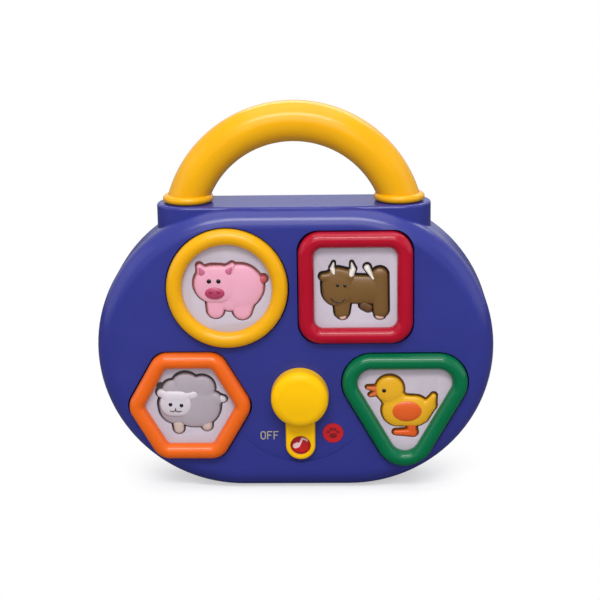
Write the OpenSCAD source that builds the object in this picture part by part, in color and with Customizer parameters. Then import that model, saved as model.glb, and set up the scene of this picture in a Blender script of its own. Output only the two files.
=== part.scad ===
// Musical shape sorter: a two-shell housing with an arched handle, four lift-out picture
// blocks that press sound keys in their pockets, and a mode lever that swings on the front.
// Millimetres. X runs to the right, Y from front to back, Z up from the middle of the base.

/* [Body] */
// Width of the body over its round ends
body_w = 240; // [236:1:256]
// Height of the body, twice the radius of its round ends
body_h = 175; // [174:1:186]
// Depth of the body from front face to rear face
body_d = 54; // [52:1:64]
// Radius round the front and rear edges
edge_r = 12; // [8:1:13]
// Wall thickness of the two shells
wall = 2.4; // [2:0.1:2.8]
// Bevel on each side of the seam between the shells
seam_bevel = 0.4; // [0.2:0.1:0.8]
// Gap between faces that seat on each other
seat_gap = 0.1; // [0.05:0.05:0.2]
// Gap round pieces that drop into a recess
fit_gap = 0.2; // [0.1:0.05:0.3]
// Radial clearance of a turning or sliding pin in its hole
running_gap = 0.06; // [0.03:0.01:0.1]

/* [Turret and handle] */
// Depth of the flat-topped turret that carries the handle
turret_d = 38; // [34:1:42]
// Radius along the top edge of the turret
turret_edge_r = 1.6; // [0.8:0.2:2]
// Distance of each handle foot from the middle
foot_x = 63.5; // [60:0.5:66]
// Diameter of the handle tube
tube_d = 24.5; // [22:0.5:26]
// Wall of the hollow handle tube
tube_wall = 2.4; // [2:0.1:3]
// Height of the handle's top above the turret
handle_rise = 60.8; // [56:0.4:66]
// Diameter of the flange bead at each foot
flange_d = 30.5; // [29:0.5:33]
// Height of the flange bead
flange_h = 4.8; // [4:0.2:6]
// Diameter of the neck that passes through the turret
neck_d = 16; // [14:0.5:18]
// Diameter of the collar that holds the neck in the turret
collar_d = 21; // [20:0.5:22]
// Thickness of the collar
collar_t = 4; // [3:0.5:6]

/* [Blocks] */
// Overall depth of a block
block_d = 17; // [16:0.5:18]
// Height by which a block stands proud of the front face
block_proud = 6; // [5:0.5:7]
// Gap all round between a block and its pocket
pocket_gap = 0.8; // [0.5:0.1:1]
// Wall round each pocket
skirt_t = 1.8; // [1.4:0.1:2.2]
// Width of the half-round bead round a block
rim_w = 9.4; // [8:0.2:10]
// Height of the bead above the picture panel
panel_drop = 6; // [5.2:0.2:6.4]
// Side wall of a block behind the bead
rim_wall = 2.2; // [1.8:0.1:2.6]
// Thickness of the picture panel
panel_t = 1.9; // [1.5:0.1:2.2]
// Thickness of the plate behind each figure
relief_t = 1.8; // [1.4:0.1:2]
// Height of the highest figures above the panel
relief_h = 1.6; // [1:0.1:1.8]
// Thickness of a block's back cover
base_t = 2; // [1.6:0.1:2.4]
// Gap round a figure in its window
window_gap = 0.7; // [0.4:0.1:0.9]
// Width across the largest figure, which sets the scale of all four
figure_w = 45; // [40:1:46]

/* [Shapes] */
// Diameter of the round block
circle_d = 72.5; // [68:0.5:74]
// Distance of the round block to the left of the middle
circle_left = 39.6; // [39:0.2:42]
// Distance of the upper blocks' centres below the body's top
upper_drop = 47.4; // [46:0.2:48]
// Width of the square block
square_w = 68; // [64:0.5:69]
// Corner radius of the square block
square_r = 12; // [11:0.5:16]
// Distance of the square block to the right of the middle
square_right = 36.9; // [36.6:0.2:40]
// Width of the hexagonal block across its flats
hexagon_w = 66.8; // [62:0.2:68]
// Corner radius of the hexagonal block
hexagon_r = 10.4; // [10:0.2:14]
// Distance of the hexagonal block to the left of the middle
hexagon_left = 64; // [62:0.5:65]
// Height of the hexagonal block's centre above the base
hexagon_z = 54.4; // [54:0.2:56]
// Width of the triangular block
triangle_w = 75.5; // [72:0.5:77]
// Height of the triangular block
triangle_h = 70.8; // [67:0.2:72]
// Corner radius of the triangular block
triangle_r = 18; // [15:0.5:19]
// Distance of the triangular block to the right of the middle
triangle_right = 66.2; // [64:0.2:67]
// Height of the triangular block's centre above the base
triangle_z = 56.9; // [56:0.1:58]

/* [Sound keys] */
// Travel of a pressed block
press_travel = 2.5; // [1.5:0.1:3]
// Space left under a fully pressed block
press_margin = 0.3; // [0.2:0.1:0.6]
// Thickness of the plate that closes the pockets
floor_t = 2; // [1.6:0.1:2.6]
// Diameter of a plunger
plunger_d = 14; // [10:0.5:16]
// Diameter of a plunger's stop flange
plunger_flange_d = 20; // [18:0.5:22]
// Thickness of a plunger's stop flange
plunger_flange_t = 2; // [1.6:0.1:2.4]
// Height of a rubber key dome
dome_h = 4.8; // [4:0.2:6]
// Thickness of the circuit board
board_t = 1.6; // [1:0.1:2]

/* [Mode lever] */
// Distance of the lever's pivot to the right of the middle
lever_x = 2.9; // [0:0.1:4]
// Height of the lever's pivot above the base
lever_z = 60.6; // [60:0.1:62]
// Diameter of the knob
knob_d = 35; // [32:0.5:36]
// Height of the knob above the front face
knob_h = 13; // [11:0.5:14]
// Radius round the knob's edge
knob_edge_r = 5.5; // [4:0.5:7]
// Width of the tongue
tongue_w = 18; // [17:0.1:19]
// Height of the tongue above the front face
tongue_h = 3.4; // [2.6:0.2:3.8]
// Distance from the pivot to the window in the tongue
mark_reach = 31.4; // [30.6:0.2:32.4]
// Diameter of the window
window_d = 12.4; // [11:0.2:13]
// Clearance under the lever
lever_lift = 0.5; // [0.4:0.1:0.8]
// Angle from the middle position to either side
mode_angle = 39; // [35:1:40]
// Diameter of the pivot shaft
shaft_d = 8; // [6:0.5:10]
// Radius of the dish that the tongue sweeps
dish_r = 42.8; // [42.4:0.1:44]
// Depth of the dish at its lower lip
dish_depth = 1.2; // [0.8:0.1:1.4]
// Distance below the pivot where the dish begins
dish_start = 23; // [22:1:24]
// Diameter of a mark badge
badge_d = 12.6; // [11:0.2:13]
// Diameter of the switch rotor
rotor_d = 24; // [20:0.5:26]
// Thickness of the switch rotor
rotor_t = 3; // [2:0.2:3.2]

/* [Loudspeaker] */
// Diameter of the loudspeaker
speaker_d = 50; // [40:1:52]
// Depth of the loudspeaker's basket
speaker_basket_d = 9; // [7:0.5:11]
// Thickness of the loudspeaker's magnet
magnet_t = 6.5; // [5:0.5:8]
// Height of the loudspeaker's centre above the base
speaker_z = 122; // [118:1:124]
// Diameter of a grille hole
grille_hole_d = 3; // [2:0.2:3.6]

/* [Batteries] */
// Diameter of a battery cell
cell_d = 14.5; // [13:0.1:14.5]
// Length of a battery cell over its button
cell_l = 50.5; // [44:0.5:50.5]
// Space at each end of the cells for the contacts
contact_room = 3; // [2.6:0.1:4]
// Wall of the battery box
box_wall = 1.8; // [1.4:0.1:2.4]
// Ledge that carries the battery door
door_ledge = 1.5; // [1:0.1:1.6]
// Height of the battery box's centre above the base
box_z = 46; // [45:1:48]

/* [Screws] */
// Shank diameter of the shell screws
screw_d = 3; // [2.5:0.1:3.5]
// Length of the shell screws
screw_l = 30; // [27:1:32]
// Head diameter of the shell screws
screw_head_d = 6; // [5:0.1:6.4]
// Shank diameter of the small screws
small_screw_d = 2.4; // [2:0.1:2.6]
// Head diameter of the small screws
small_head_d = 5; // [4.4:0.1:5.4]

/* [Hidden] */
$fn = 72;
cut = 1;              // how far a cutting shape runs past the face it cuts
side_inset = 0.02;    // how far straight sides lie inside the tangents of their round ends
blue = [0.14, 0.15, 0.46];
yellow = [0.94, 0.66, 0.03];
red = [0.66, 0.05, 0.12];
orange = [0.90, 0.36, 0.06];
green = [0.00, 0.37, 0.20];
panel_white = [0.80, 0.77, 0.82];
dark_red = [0.50, 0.05, 0.07];
steel = [0.68, 0.69, 0.71];
bronze = [0.72, 0.50, 0.25];
graphite = [0.12, 0.12, 0.13];

// Levels along Y, with the whole depth from the knob or the blocks to the rear face centred
front_reach = max(block_proud, knob_h);
y_front = (front_reach - body_d) / 2;
y_rear = y_front + body_d;
y_split = y_front + body_d / 2;
y_block = y_front - block_proud;
y_base = y_block + block_d;
y_panel = y_block + panel_drop + seat_gap;
y_relief = y_panel + panel_t + seat_gap;
y_floor = y_base + press_travel + press_margin;
y_floor_back = y_floor + floor_t;
y_flange = y_floor_back + seat_gap;
y_dome = y_flange + plunger_flange_t + seat_gap;
y_board = y_dome + dome_h + seat_gap;
y_board_back = y_board + board_t;
y_speaker = y_rear - wall - seat_gap;

// Body, turret and handle
end_r = body_h / 2;
end_x = (body_w - body_h) / 2;
turret_r = turret_d / 2;
tube_r = tube_d / 2;
arch_rise = handle_rise - tube_r;
// The arch is a circle through both feet and the top of the tube's centre line
arch_foot_z = flange_h / 2;
arch_r = (pow(foot_x, 2) + pow(arch_rise - arch_foot_z, 2)) / (2 * (arch_rise - arch_foot_z));
arch_z = body_h + arch_rise - arch_r;
arch_start = asin((body_h + arch_foot_z - arch_z) / arch_r);
flange_bead_r = flange_h / 2;
socket_t = 3;                            // ring that thickens the turret's top round each neck
neck_bore_r = neck_d / 2 - tube_wall;
neck_bottom_z = body_h - wall - socket_t - seat_gap;

// Outlines of the four blocks: the centres of the corner arcs, and their radius
square_core = square_w / 2 - square_r;
hexagon_core = (hexagon_w / 2 - hexagon_r) / cos(30);
triangle_core_w = triangle_w - 2 * triangle_r;
triangle_core_h = triangle_h - 2 * triangle_r;
// Heights on the front are given for a body of the drawn height, and move with its middle
drawn_h = 175;
mid_shift = (body_h - drawn_h) / 2;
circle_at = [-circle_left, drawn_h - upper_drop + mid_shift];
square_at = [square_right, drawn_h - upper_drop + mid_shift];
hexagon_at = [-hexagon_left, hexagon_z + mid_shift];
triangle_at = [triangle_right, triangle_z + mid_shift];
pivot_at = [lever_x, lever_z + mid_shift];
circle_shape = [circle_at, [[0, 0]], circle_d / 2];
square_shape = [square_at, [for (s = [[-1, -1], [1, -1], [1, 1], [-1, 1]]) s * square_core], square_r];
hexagon_shape = [hexagon_at, [for (i = [0:5]) hexagon_core * [cos(60 * i), sin(60 * i)]], hexagon_r];
triangle_shape = [
    triangle_at,
    [
        [-triangle_core_w / 2, triangle_core_h / 3],
        [0, -triangle_core_h * 2 / 3],
        [triangle_core_w / 2, triangle_core_h / 3]
    ],
    triangle_r
];
shapes = [circle_shape, square_shape, hexagon_shape, triangle_shape];
plunger_r = plunger_d / 2;
plunger_flange_r = plunger_flange_d / 2;
bead_r = rim_w / 2;
bead_steps = 12;
corner_step = 10;                        // largest turn between two places round a corner
panel_inset = rim_wall + fit_gap;
base_ring_t = 1.6;                       // ring on the back cover that clamps the panel
relief_inset = panel_inset + base_ring_t + fit_gap;
dome_foot_w = 2;                         // width of a dome's foot beyond the plunger
dome_cap_inset = 3;                      // how much narrower a dome's cap is than the plunger
dome_skin = 0.8;
post_r = 6;                              // post on the back cover behind each figure
post_wall = 1.5;
relief_step = 0.8;                       // step inwards between the two levels of a figure

// Figures: each row is a bar with round ends, as [start, end, radius, whether it stands high]
figure_unit = figure_w / 45;
pig_rows = [
    [[8.4, -0.6], [8.4, -0.6], 14, true],
    [[-7.4, 3], [-7.4, 3], 12.4, true],
    [[-15, 10], [-15.5, 13.5], 2.6, false],
    [[1, 10], [2.5, 13.5], 2.6, false],
    [[-7.4, -8], [-7.6, -14.2], 4.6, false],
    [[8, -10], [8, -15], 5, false],
    [[20.6, 5], [21.4, 5.6], 2.8, false]
];
cow_rows = [
    [[-10.2, 0], [-10.2, 0], 10.4, true],
    [[-4, -1], [13.6, -1], 8.6, true],
    [[13.4, 3], [14.4, 4.6], 4.6, false],
    [[-18.4, 5.8], [-14, 4.6], 2.6, false],
    [[-13.6, 8], [-14.6, 12.6], 1.5, false],
    [[-3.4, 8], [-3, 12.4], 1.5, false],
    [[11, 6], [7.4, 10.4], 1.7, false],
    [[-9.4, -8], [-9, -16], 4.6, false],
    [[14, -8], [14, -16], 4.4, false],
    [[3.6, -8], [6, -10], 4, false]
];
sheep_rows = [
    [[3.4, 2.6], [3.4, 2.6], 15.2, true],
    [[-8.6, 1], [-8.6, 1], 9.2, true],
    [[-11, 9], [-11, 9], 6.6, false],
    [[-1.6, 12.4], [-1.6, 12.4], 7.4, true],
    [[9.4, 11], [9.4, 11], 7, true],
    [[16, 2], [17, 5], 4, false],
    [[-17.4, 7.4], [-14, 6], 2.8, false],
    [[-7.6, -10], [-7.6, -14.6], 3.6, false],
    [[9.6, -8], [9.6, -13.8], 3.8, false]
];
duck_rows = [
    [[-8.9, 6.5], [-8.9, 6.5], 8.6, true],
    [[-4, -5.8], [5.4, -5.8], 9.4, true],
    [[8, -3], [15.4, 2.8], 3, false],
    [[-21.4, 7.4], [-15, 6.6], 2.2, false],
    [[-20.2, 4.4], [-15, 5.4], 1.9, false],
    [[1.4, -14], [1.6, -19.6], 1.4, false],
    [[-5.4, -19.6], [4.6, -20], 2, false]
];

// Mode switch
bush_r = shaft_d / 2 + running_gap;
bush_wall = 3;
knob_r = knob_d / 2;
y_knob = y_front - knob_h;
y_tongue = y_front - tongue_h;
y_lever_back = y_front - lever_lift;
y_rotor = y_floor_back + fit_gap;
y_rotor_back = y_rotor + rotor_t;
rotor_r = rotor_d / 2;
notch_r = 1.6;                           // detent notches in the rotor's rim
lever_screw_head_t = 1.6;
wiper_t = 0.5;
finger_r = 1.4;
wiper_inset = 4;
wiper_reach = rotor_r - wiper_inset;
leaf_t = 0.6;                            // detent leaf
leaf_w = 2.6;
leaf_span = 26;
badge_r = badge_d / 2;
badge_t = 1.2;
badge_sink = 0.2;                        // depth of a badge's front below the dish's floor
badge_back_t = 0.9;                      // plastic behind a badge
dish_run = dish_r - dish_start;
dish_tilt = atan(dish_depth / dish_run);

// Rear shell
screw_r = screw_d / 2;
screw_hole_r = screw_r + seat_gap;
boss_r = 4.4;
boss_inset = 6;                          // gap between a boss and the shell's side
boss_reach = end_r - wall - boss_r - boss_inset;
foot_boss_rise = 4.5;                    // gap between a low boss and the shell's bottom
foot_boss_inset = 4;                     // how far the low bosses lie inside the round ends' centres
screw_cover = 2.5;                       // plastic left in front of a shell screw's tip
screw_head_t = 2;
side_boss_angle = 7;
upper_boss_angle = 53;
y_screw_tip = y_front + wall + screw_cover;
y_screw_head = y_screw_tip + screw_l;
screw_places = concat(
    [for (s = [-1, 1], a = [side_boss_angle, upper_boss_angle])
        [s * (end_x + boss_reach * cos(a)), end_r + boss_reach * sin(a)]],
    [for (s = [-1, 1]) [s * (end_x - foot_boss_inset), wall + boss_r + foot_boss_rise]]
);
small_screw_r = small_screw_d / 2;
small_hole_r = small_screw_r + seat_gap;
small_head_r = small_head_d / 2;
small_head_t = 1.6;
small_boss_wall = 1.8;
small_boss_r = small_screw_r + small_boss_wall;
small_screw_l = 7;

// Loudspeaker
speaker_r = speaker_d / 2;
speaker_at = [0, speaker_z + mid_shift];
speaker_rim_t = 1.6;
speaker_rim_w = 4;
basket_wall = 1;
magnet_r = speaker_r / 2;
paper_t = 0.5;                           // paper of the cone
cone_clearance = 2;                      // space between the cone's cap and the basket
cap_rise = 1;
hem_w = 1;                               // flat hem round the cone
washer_w = 1;                            // how far the screws' washer heads reach past a plain head
y_magnet = y_speaker - speaker_basket_d - seat_gap;
speaker_screw_reach = speaker_r + small_boss_r + fit_gap;
speaker_screw_angles = [90, 210, 330];
grille_spacing = 1.9;                    // distance between grille holes, in hole diameters
grille_pitch = grille_hole_d * grille_spacing;
grille_rings = floor((speaker_r - speaker_rim_w - grille_hole_d) / grille_pitch);

// Battery box, with the cells lying along X
cell_r = cell_d / 2;
cell_count = 3;
cell_space = 0.7;                        // space between neighbouring cells
cell_pitch = cell_d + cell_space;
button_r = 2.7;
button_l = 1.4;
box_in_w = cell_l + 2 * contact_room;
box_in_h = cell_count * cell_pitch + fit_gap;
door_w = box_in_w + 2 * door_ledge;
door_h = box_in_h + 2 * door_ledge;
ear_wall = 2.4;                          // plastic round a screw head in the door's ears
ear_r = small_head_r + ear_wall;
ear_t = 4.6;
ear_reach = 1.5;                         // how far an ear's centre lies past the door's edge
ear_offset = door_h / 2 + ear_reach;
ear_head_depth = 2.2;
y_door = y_rear - wall;
y_ledge = y_door - seat_gap;
y_cells = y_ledge - cell_r;
y_box_floor = y_cells - cell_r - seat_gap;
cell_places = [for (i = [0:cell_count - 1]) box_z + (i - (cell_count - 1) / 2) * cell_pitch];
contact_t = 0.5;
contact_w = 11;
spring_rise = contact_room - contact_t - 2 * seat_gap;
spring_bow_r = (pow(contact_w / 2, 2) + pow(spring_rise, 2)) / (2 * spring_rise);

// Circuit board
board_w = 154;
board_gap = 0.76;                        // gap between the board's top and the upper screw bosses
board_low = 44;                          // height of the board's bottom in a body of the drawn height
board_bottom = board_low + mid_shift;
board_top = end_r + boss_reach * sin(upper_boss_angle) - boss_r - board_gap;
board_h = board_top - board_bottom;
board_at = [1, (board_top + board_bottom) / 2];
post_inset = 6;
post_z = board_h / 2 - post_inset;
side_post_z = -2.6;                      // side posts, from the board's middle
low_post_x = 32;                         // low posts, from the board's middle
board_posts = [for (s = [-1, 1], z = [side_post_z, post_z]) board_at + [s * (board_w / 2 - post_inset), z]];
low_posts = [for (s = [-1, 1]) board_at + [s * low_post_x, -post_z]];
post_places = concat(board_posts, low_posts);
standoff_r = small_boss_r;
chip_at = [-44, 96];
chip_r = 9;
chip_h = 2.4;
capacitor_at = [44, 96];
capacitor_r = 4;
capacitor_h = 8;

// Wires: points chosen by hand from the cells and the loudspeaker to the board's back
wire_d = 1.6;
function led(at, points) = [for (p = points) [at[0] + p[0], y_board_back + p[1], at[1] + p[2]]];
lead_x = 30.4;                           // distance of the battery contacts' wires from the middle
battery_routes = [
    led([-lead_x, cell_places[0]], [
        [0, 10.4, 0], [0, 7.5, 0], [-1.6, 4.5, 4.2], [-6.6, 2.9, 13.2], [-9.6, 2.5, 21.2],
        [-10.6, 1.9, 25.2], [-10.6, 0.1, 25.2]
    ]),
    led([lead_x, cell_places[cell_count - 1]], [
        [0, 10.4, 0], [0, 7.5, 0], [0.6, 4.5, 1.3], [2.6, 3.1, 4.8], [3.6, 2.5, 8.8],
        [3.6, 1.7, 12.8], [3.6, 0.1, 12.8]
    ])
];
speaker_routes = [for (s = [-1, 1])
    led(speaker_at, [
        [s * 20, 25.3, -11], [s * 20, 21.5, -11], [s * 21, 16.5, -12], [s * 24, 10.5, -15],
        [s * 27, 5.5, -17], [s * 28, 2.5, -18], [s * 28, 0.1, -18]
    ])
];

// Unit vectors of a plane direction and of the outward side of an edge
function along(a, b) = (b - a) / norm(b - a);
function outward(t) = [t[1], -t[0]];
function turned(p, angle) = [p[0] * cos(angle) - p[1] * sin(angle), p[0] * sin(angle) + p[1] * cos(angle)];

// Solid between two Y levels from a flat shape drawn in X and Z
module slab(y0, y1) {
    translate([0, y1, 0])
        rotate([90, 0, 0])
            linear_extrude(y1 - y0) children();
}

// Round solid about a Y axis, from a flat profile of radius and Y
module spun(at) {
    translate([at[0], 0, at[1]])
        rotate([-90, 0, 0])
            rotate_extrude() children();
}

// Round pin or hole along Y
module pin(at, r, y0, y1) {
    translate([at[0], y0, at[1]])
        rotate([-90, 0, 0])
            cylinder(r = r, h = y1 - y0);
}

// Outline with round corners, grown or shrunk from a block's own outline
module outline(shape, grow) {
    core = shape[1];
    r = shape[2] + grow;
    side_r = r - side_inset;
    count = len(core);
    translate(shape[0]) {
        for (c = core)
            translate(c) circle(r);
        if (count > 2)
            polygon([for (i = [0:count - 1], e = [i - 1, i])
                core[i] + side_r * outward(along(core[(e + count) % count], core[(e + 1) % count]))]);
    }
}

// Places round a straight-sided outline: each is a corner centre and a direction away from it
function stations(core) = [
    for (i = [0:len(core) - 1])
        let (
            before = along(core[(i + len(core) - 1) % len(core)], core[i]),
            after = along(core[i], core[(i + 1) % len(core)]),
            turn = acos(before * after),
            steps = ceil(turn / corner_step)
        )
        for (k = [0:steps]) [core[i], turned(outward(before), turn * k / steps)]
];

// Closed tube of a profile carried round an outline; the profile's first axis starts at the
// corner centres, and its second is Y
module swept_round(shape, profile) {
    places = stations(shape[1]);
    rings = len(places);
    sides = len(profile);
    points = [for (p = places, q = profile)
        let (c = shape[0] + p[0] + q[0] * p[1]) [c[0], q[1], c[1]]];
    faces = [for (i = [0:rings - 1], k = [0:sides - 1])
        let (
            a = i * sides + k,
            b = i * sides + (k + 1) % sides,
            c = (i + 1) % rings * sides + k,
            d = (i + 1) % rings * sides + (k + 1) % sides
        )
        each [[a, c, b], [b, c, d]]];
    polyhedron(points, faces);
}

// Flat bar with round ends
module bar(a, b, r) {
    t = norm(b - a) > 0 ? along(a, b) : [1, 0];
    n = outward(t) * (r - side_inset);
    translate(a) circle(r);
    if (norm(b - a) > 0) {
        translate(b) circle(r);
        polygon([a + n, b + n, b - n, a - n]);
    }
}

// Profile of half the body: radius outwards, depth from the seam, with a round far edge
module half_profile(r, depth, round_r, bevel) {
    difference() {
        union() {
            square([r, depth - round_r]);
            square([r - round_r, depth]);
            translate([r - round_r, depth - round_r]) circle(round_r);
        }
        if (bevel > 0)
            translate([r, 0]) rotate(45) square(bevel * sqrt(2), center = true);
        translate([-2 * round_r, -cut]) square([2 * round_r, depth + 2 * cut]);
    }
}

// Half of the body with round ends, from the seam towards the front or the rear
module half_body(r, depth, round_r, bevel) {
    for (s = [-1, 1])
        translate([s * end_x, 0, end_r])
            rotate([-90, 0, 0])
                rotate_extrude() half_profile(r, depth, round_r, bevel);
    for (side = [0, 1])
        translate([-end_x, 0, end_r])
            mirror([0, 0, side])
                rotate([90, 0, 90])
                    linear_extrude(2 * end_x)
                        mirror([1, -1])
                            half_profile(r, depth, round_r, bevel);
}

// Turret with round ends in plan and a rounded top edge, inset all over
module turret(inset) {
    r = turret_r - inset;
    top = body_h - inset;
    round_r = max(turret_edge_r - inset, 0.2);
    height = top - end_r;
    for (s = [-1, 1])
        translate([s * foot_x, 0, end_r])
            rotate_extrude() half_profile(r, height, round_r, 0);
    for (side = [0, 1])
        translate([-foot_x, 0, end_r])
            mirror([0, side, 0])
                rotate([90, 0, 90])
                    linear_extrude(2 * foot_x) half_profile(r, height, round_r, 0);
}

// Everything on the rear side of the seam, used to trim the turret
module rear_half() {
    translate([-body_w, 0, -cut]) cube([2 * body_w, body_d, body_h + 2 * cut]);
}

// One shell about the seam at Y = 0, opening to the seam; the front shell is turned round
module shell_skin() {
    difference() {
        union() {
            half_body(end_r, body_d / 2, edge_r, seam_bevel);
            intersection() {
                turret(0);
                rear_half();
            }
        }
        half_body(end_r - wall, body_d / 2 - wall, edge_r - wall, 0);
        intersection() {
            turret(wall);
            translate([0, -cut, 0]) rear_half();
        }
    }
}

// Rings that thicken the turret's top round the handle necks, on the rear side of the seam
module neck_sockets() {
    for (s = [-1, 1])
        translate([s * foot_x, 0, body_h - wall - socket_t])
            cylinder(r = collar_d / 2, h = socket_t + wall / 2);
}

// Holes through the turret for the handle necks
module neck_holes() {
    for (s = [-1, 1])
        translate([s * foot_x, 0, body_h - wall - socket_t - cut])
            cylinder(r = neck_d / 2 + fit_gap, h = wall + socket_t + 2 * cut);
}

// Shell with its halves of the handle sockets, about a seam at Y = 0
module socketed_shell() {
    difference() {
        union() {
            shell_skin();
            intersection() {
                neck_sockets();
                rear_half();
            }
        }
        neck_holes();
    }
}

// Space that the tongue sweeps: a round dish on a floor that tilts in from its start
module lever_dish() {
    intersection() {
        pin(pivot_at, dish_r, y_front - cut, y_front + 2 * dish_depth);
        translate([pivot_at[0], y_front, pivot_at[1] - dish_start])
            rotate([dish_tilt, 0, 0])
                translate([-dish_r, -2 * dish_depth - cut, -2 * dish_r])
                    cube([2 * dish_r, 2 * dish_depth + cut, 2 * dish_r]);
    }
}

// Places of the marks that the lever points at
function mark_at(angle) = pivot_at + turned([0, -mark_reach], angle);

// Level of the dish's floor at a place in it
function dish_floor(at) = y_front + (pivot_at[1] - dish_start - at[1]) * tan(dish_tilt);

// Round pin or hole square to the dish's floor, its depths measured from that floor
module dish_pin(at, r, y0, y1) {
    translate([at[0], dish_floor(at), at[1]])
        rotate([dish_tilt, 0, 0]) pin([0, 0], r, y0, y1);
}

module front_shell() {
    color(blue)
        difference() {
            union() {
                translate([0, y_split, 0]) rotate([0, 0, 180]) socketed_shell();
                intersection() {
                    slab(y_front + wall / 2, y_floor) union() {
                        for (shape = shapes) outline(shape, pocket_gap + skirt_t);
                        for (at = screw_places) translate(at) circle(boss_r);
                        translate(pivot_at) circle(bush_r + bush_wall);
                    }
                    translate([0, y_split, 0]) rotate([0, 0, 180])
                        half_body(end_r - wall / 2, body_d / 2 - wall / 2, edge_r - wall / 2, 0);
                }
                for (angle = [0, mode_angle])
                    dish_pin(mark_at(angle), badge_r + wall, wall / 4, badge_sink + badge_t + badge_back_t);
            }
            for (shape = shapes)
                slab(y_front - cut, y_floor + cut) outline(shape, pocket_gap);
            for (at = screw_places)
                pin(at, screw_hole_r, y_screw_tip - seat_gap, y_floor + cut);
            pin(pivot_at, bush_r, y_front - cut, y_floor + cut);
            lever_dish();
            for (angle = [0, mode_angle])
                dish_pin(mark_at(angle), badge_r + fit_gap, -cut, badge_sink + badge_t + seat_gap);
        }
}

// Holes of the loudspeaker grille, in rings
module grille_holes() {
    translate(speaker_at) {
        circle(d = grille_hole_d);
        for (ring = [1:grille_rings], i = [0:6 * ring - 1])
            rotate(360 / (6 * ring) * i)
                translate([ring * grille_pitch, 0]) circle(d = grille_hole_d);
    }
}

// Outline of the battery door without its two ears
module door_plate(grow) {
    translate([-door_w / 2 - grow, box_z - door_h / 2 - grow])
        square([door_w + 2 * grow, door_h + 2 * grow]);
}

module box_room(grow) {
    translate([-box_in_w / 2 - grow, box_z - box_in_h / 2 - grow])
        square([box_in_w + 2 * grow, box_in_h + 2 * grow]);
}

// Places of the loudspeaker's screws
function speaker_screw_at(angle) = speaker_at + turned([speaker_screw_reach, 0], angle);

module rear_shell() {
    color(blue)
        difference() {
            union() {
                translate([0, y_split, 0]) socketed_shell();
                for (at = screw_places)
                    pin(at, boss_r, y_floor_back + seat_gap, y_rear - wall / 2);
                slab(y_box_floor - box_wall, y_rear - wall / 2) box_room(door_ledge + fit_gap + box_wall);
                for (s = [-1, 1])
                    pin([0, box_z + s * ear_offset], ear_r + fit_gap + box_wall,
                        y_rear - ear_t - small_screw_l, y_rear - wall / 2);
                slab(y_speaker - speaker_rim_t, y_rear - wall / 2) difference() {
                    union() {
                        translate(speaker_at) circle(speaker_r + fit_gap + box_wall);
                        for (a = speaker_screw_angles)
                            translate(speaker_screw_at(a)) circle(small_boss_r);
                    }
                    translate(speaker_at) circle(speaker_r + fit_gap);
                }
            }
            for (at = screw_places) {
                pin(at, screw_hole_r, y_floor, y_rear);
                pin(at, screw_head_d / 2 + fit_gap, y_screw_head, y_rear + cut);
            }
            slab(y_box_floor, y_rear + cut) box_room(0);
            slab(y_ledge, y_rear + cut) door_plate(fit_gap);
            for (s = [-1, 1]) {
                pin([0, box_z + s * ear_offset], ear_r + fit_gap, y_rear - ear_t - seat_gap, y_rear + cut);
                pin([0, box_z + s * ear_offset], small_hole_r, y_rear - ear_t - small_screw_l + cut, y_rear);
            }
            for (a = speaker_screw_angles)
                pin(speaker_screw_at(a), small_hole_r, y_speaker - small_screw_l, y_rear - wall);
            slab(y_rear - wall - cut, y_rear + cut) grille_holes();
        }
}

// Bead round a handle foot
module flange_bead() {
    bead_x = flange_d / 2 - flange_bead_r;
    rotate_extrude() {
        translate([bead_x, flange_bead_r]) circle(flange_bead_r);
        square([bead_x, flange_h]);
    }
}

// Arched tube, from foot to foot and a little past both
module arch(r, past) {
    translate([0, 0, arch_z])
        rotate([90, 0, 0])
            rotate(arch_start - past)
                rotate_extrude(angle = 180 - 2 * (arch_start - past))
                    translate([arch_r, 0]) circle(r);
}

module handle() {
    color(yellow)
        translate([0, y_split, 0])
            difference() {
                union() {
                    intersection() {
                        arch(tube_r, 6);
                        translate([-body_w / 2, -body_d / 2, body_h + seat_gap])
                            cube([body_w, body_d, handle_rise + cut]);
                    }
                    for (s = [-1, 1])
                        translate([s * foot_x, 0, 0]) {
                            translate([0, 0, body_h + seat_gap]) flange_bead();
                            translate([0, 0, neck_bottom_z - cut])
                                cylinder(d = neck_d, h = body_h + seat_gap - neck_bottom_z + 2 * cut);
                            translate([0, 0, neck_bottom_z - collar_t])
                                cylinder(d = collar_d, h = collar_t);
                        }
                }
                intersection() {
                    arch(tube_r - tube_wall, 0);
                    translate([-body_w / 2, -body_d / 2, body_h + tube_wall])
                        cube([body_w, body_d, handle_rise + cut]);
                }
                for (s = [-1, 1])
                    translate([s * foot_x, 0, neck_bottom_z - collar_t - cut])
                        cylinder(r = neck_bore_r, h = body_h + flange_h - neck_bottom_z + collar_t + cut);
            }
}

// Screw along Y with its head towards the rear
module screw(at, y_head, r, length, head_r, head_t) {
    pin(at, r, y_head - length, y_head + head_t / 2);
    pin(at, head_r, y_head, y_head + head_t);
}

module shell_screws() {
    color(steel)
        for (at = screw_places)
            screw(at, y_screw_head + seat_gap, screw_r, screw_l, screw_head_d / 2, screw_head_t);
}

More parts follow.
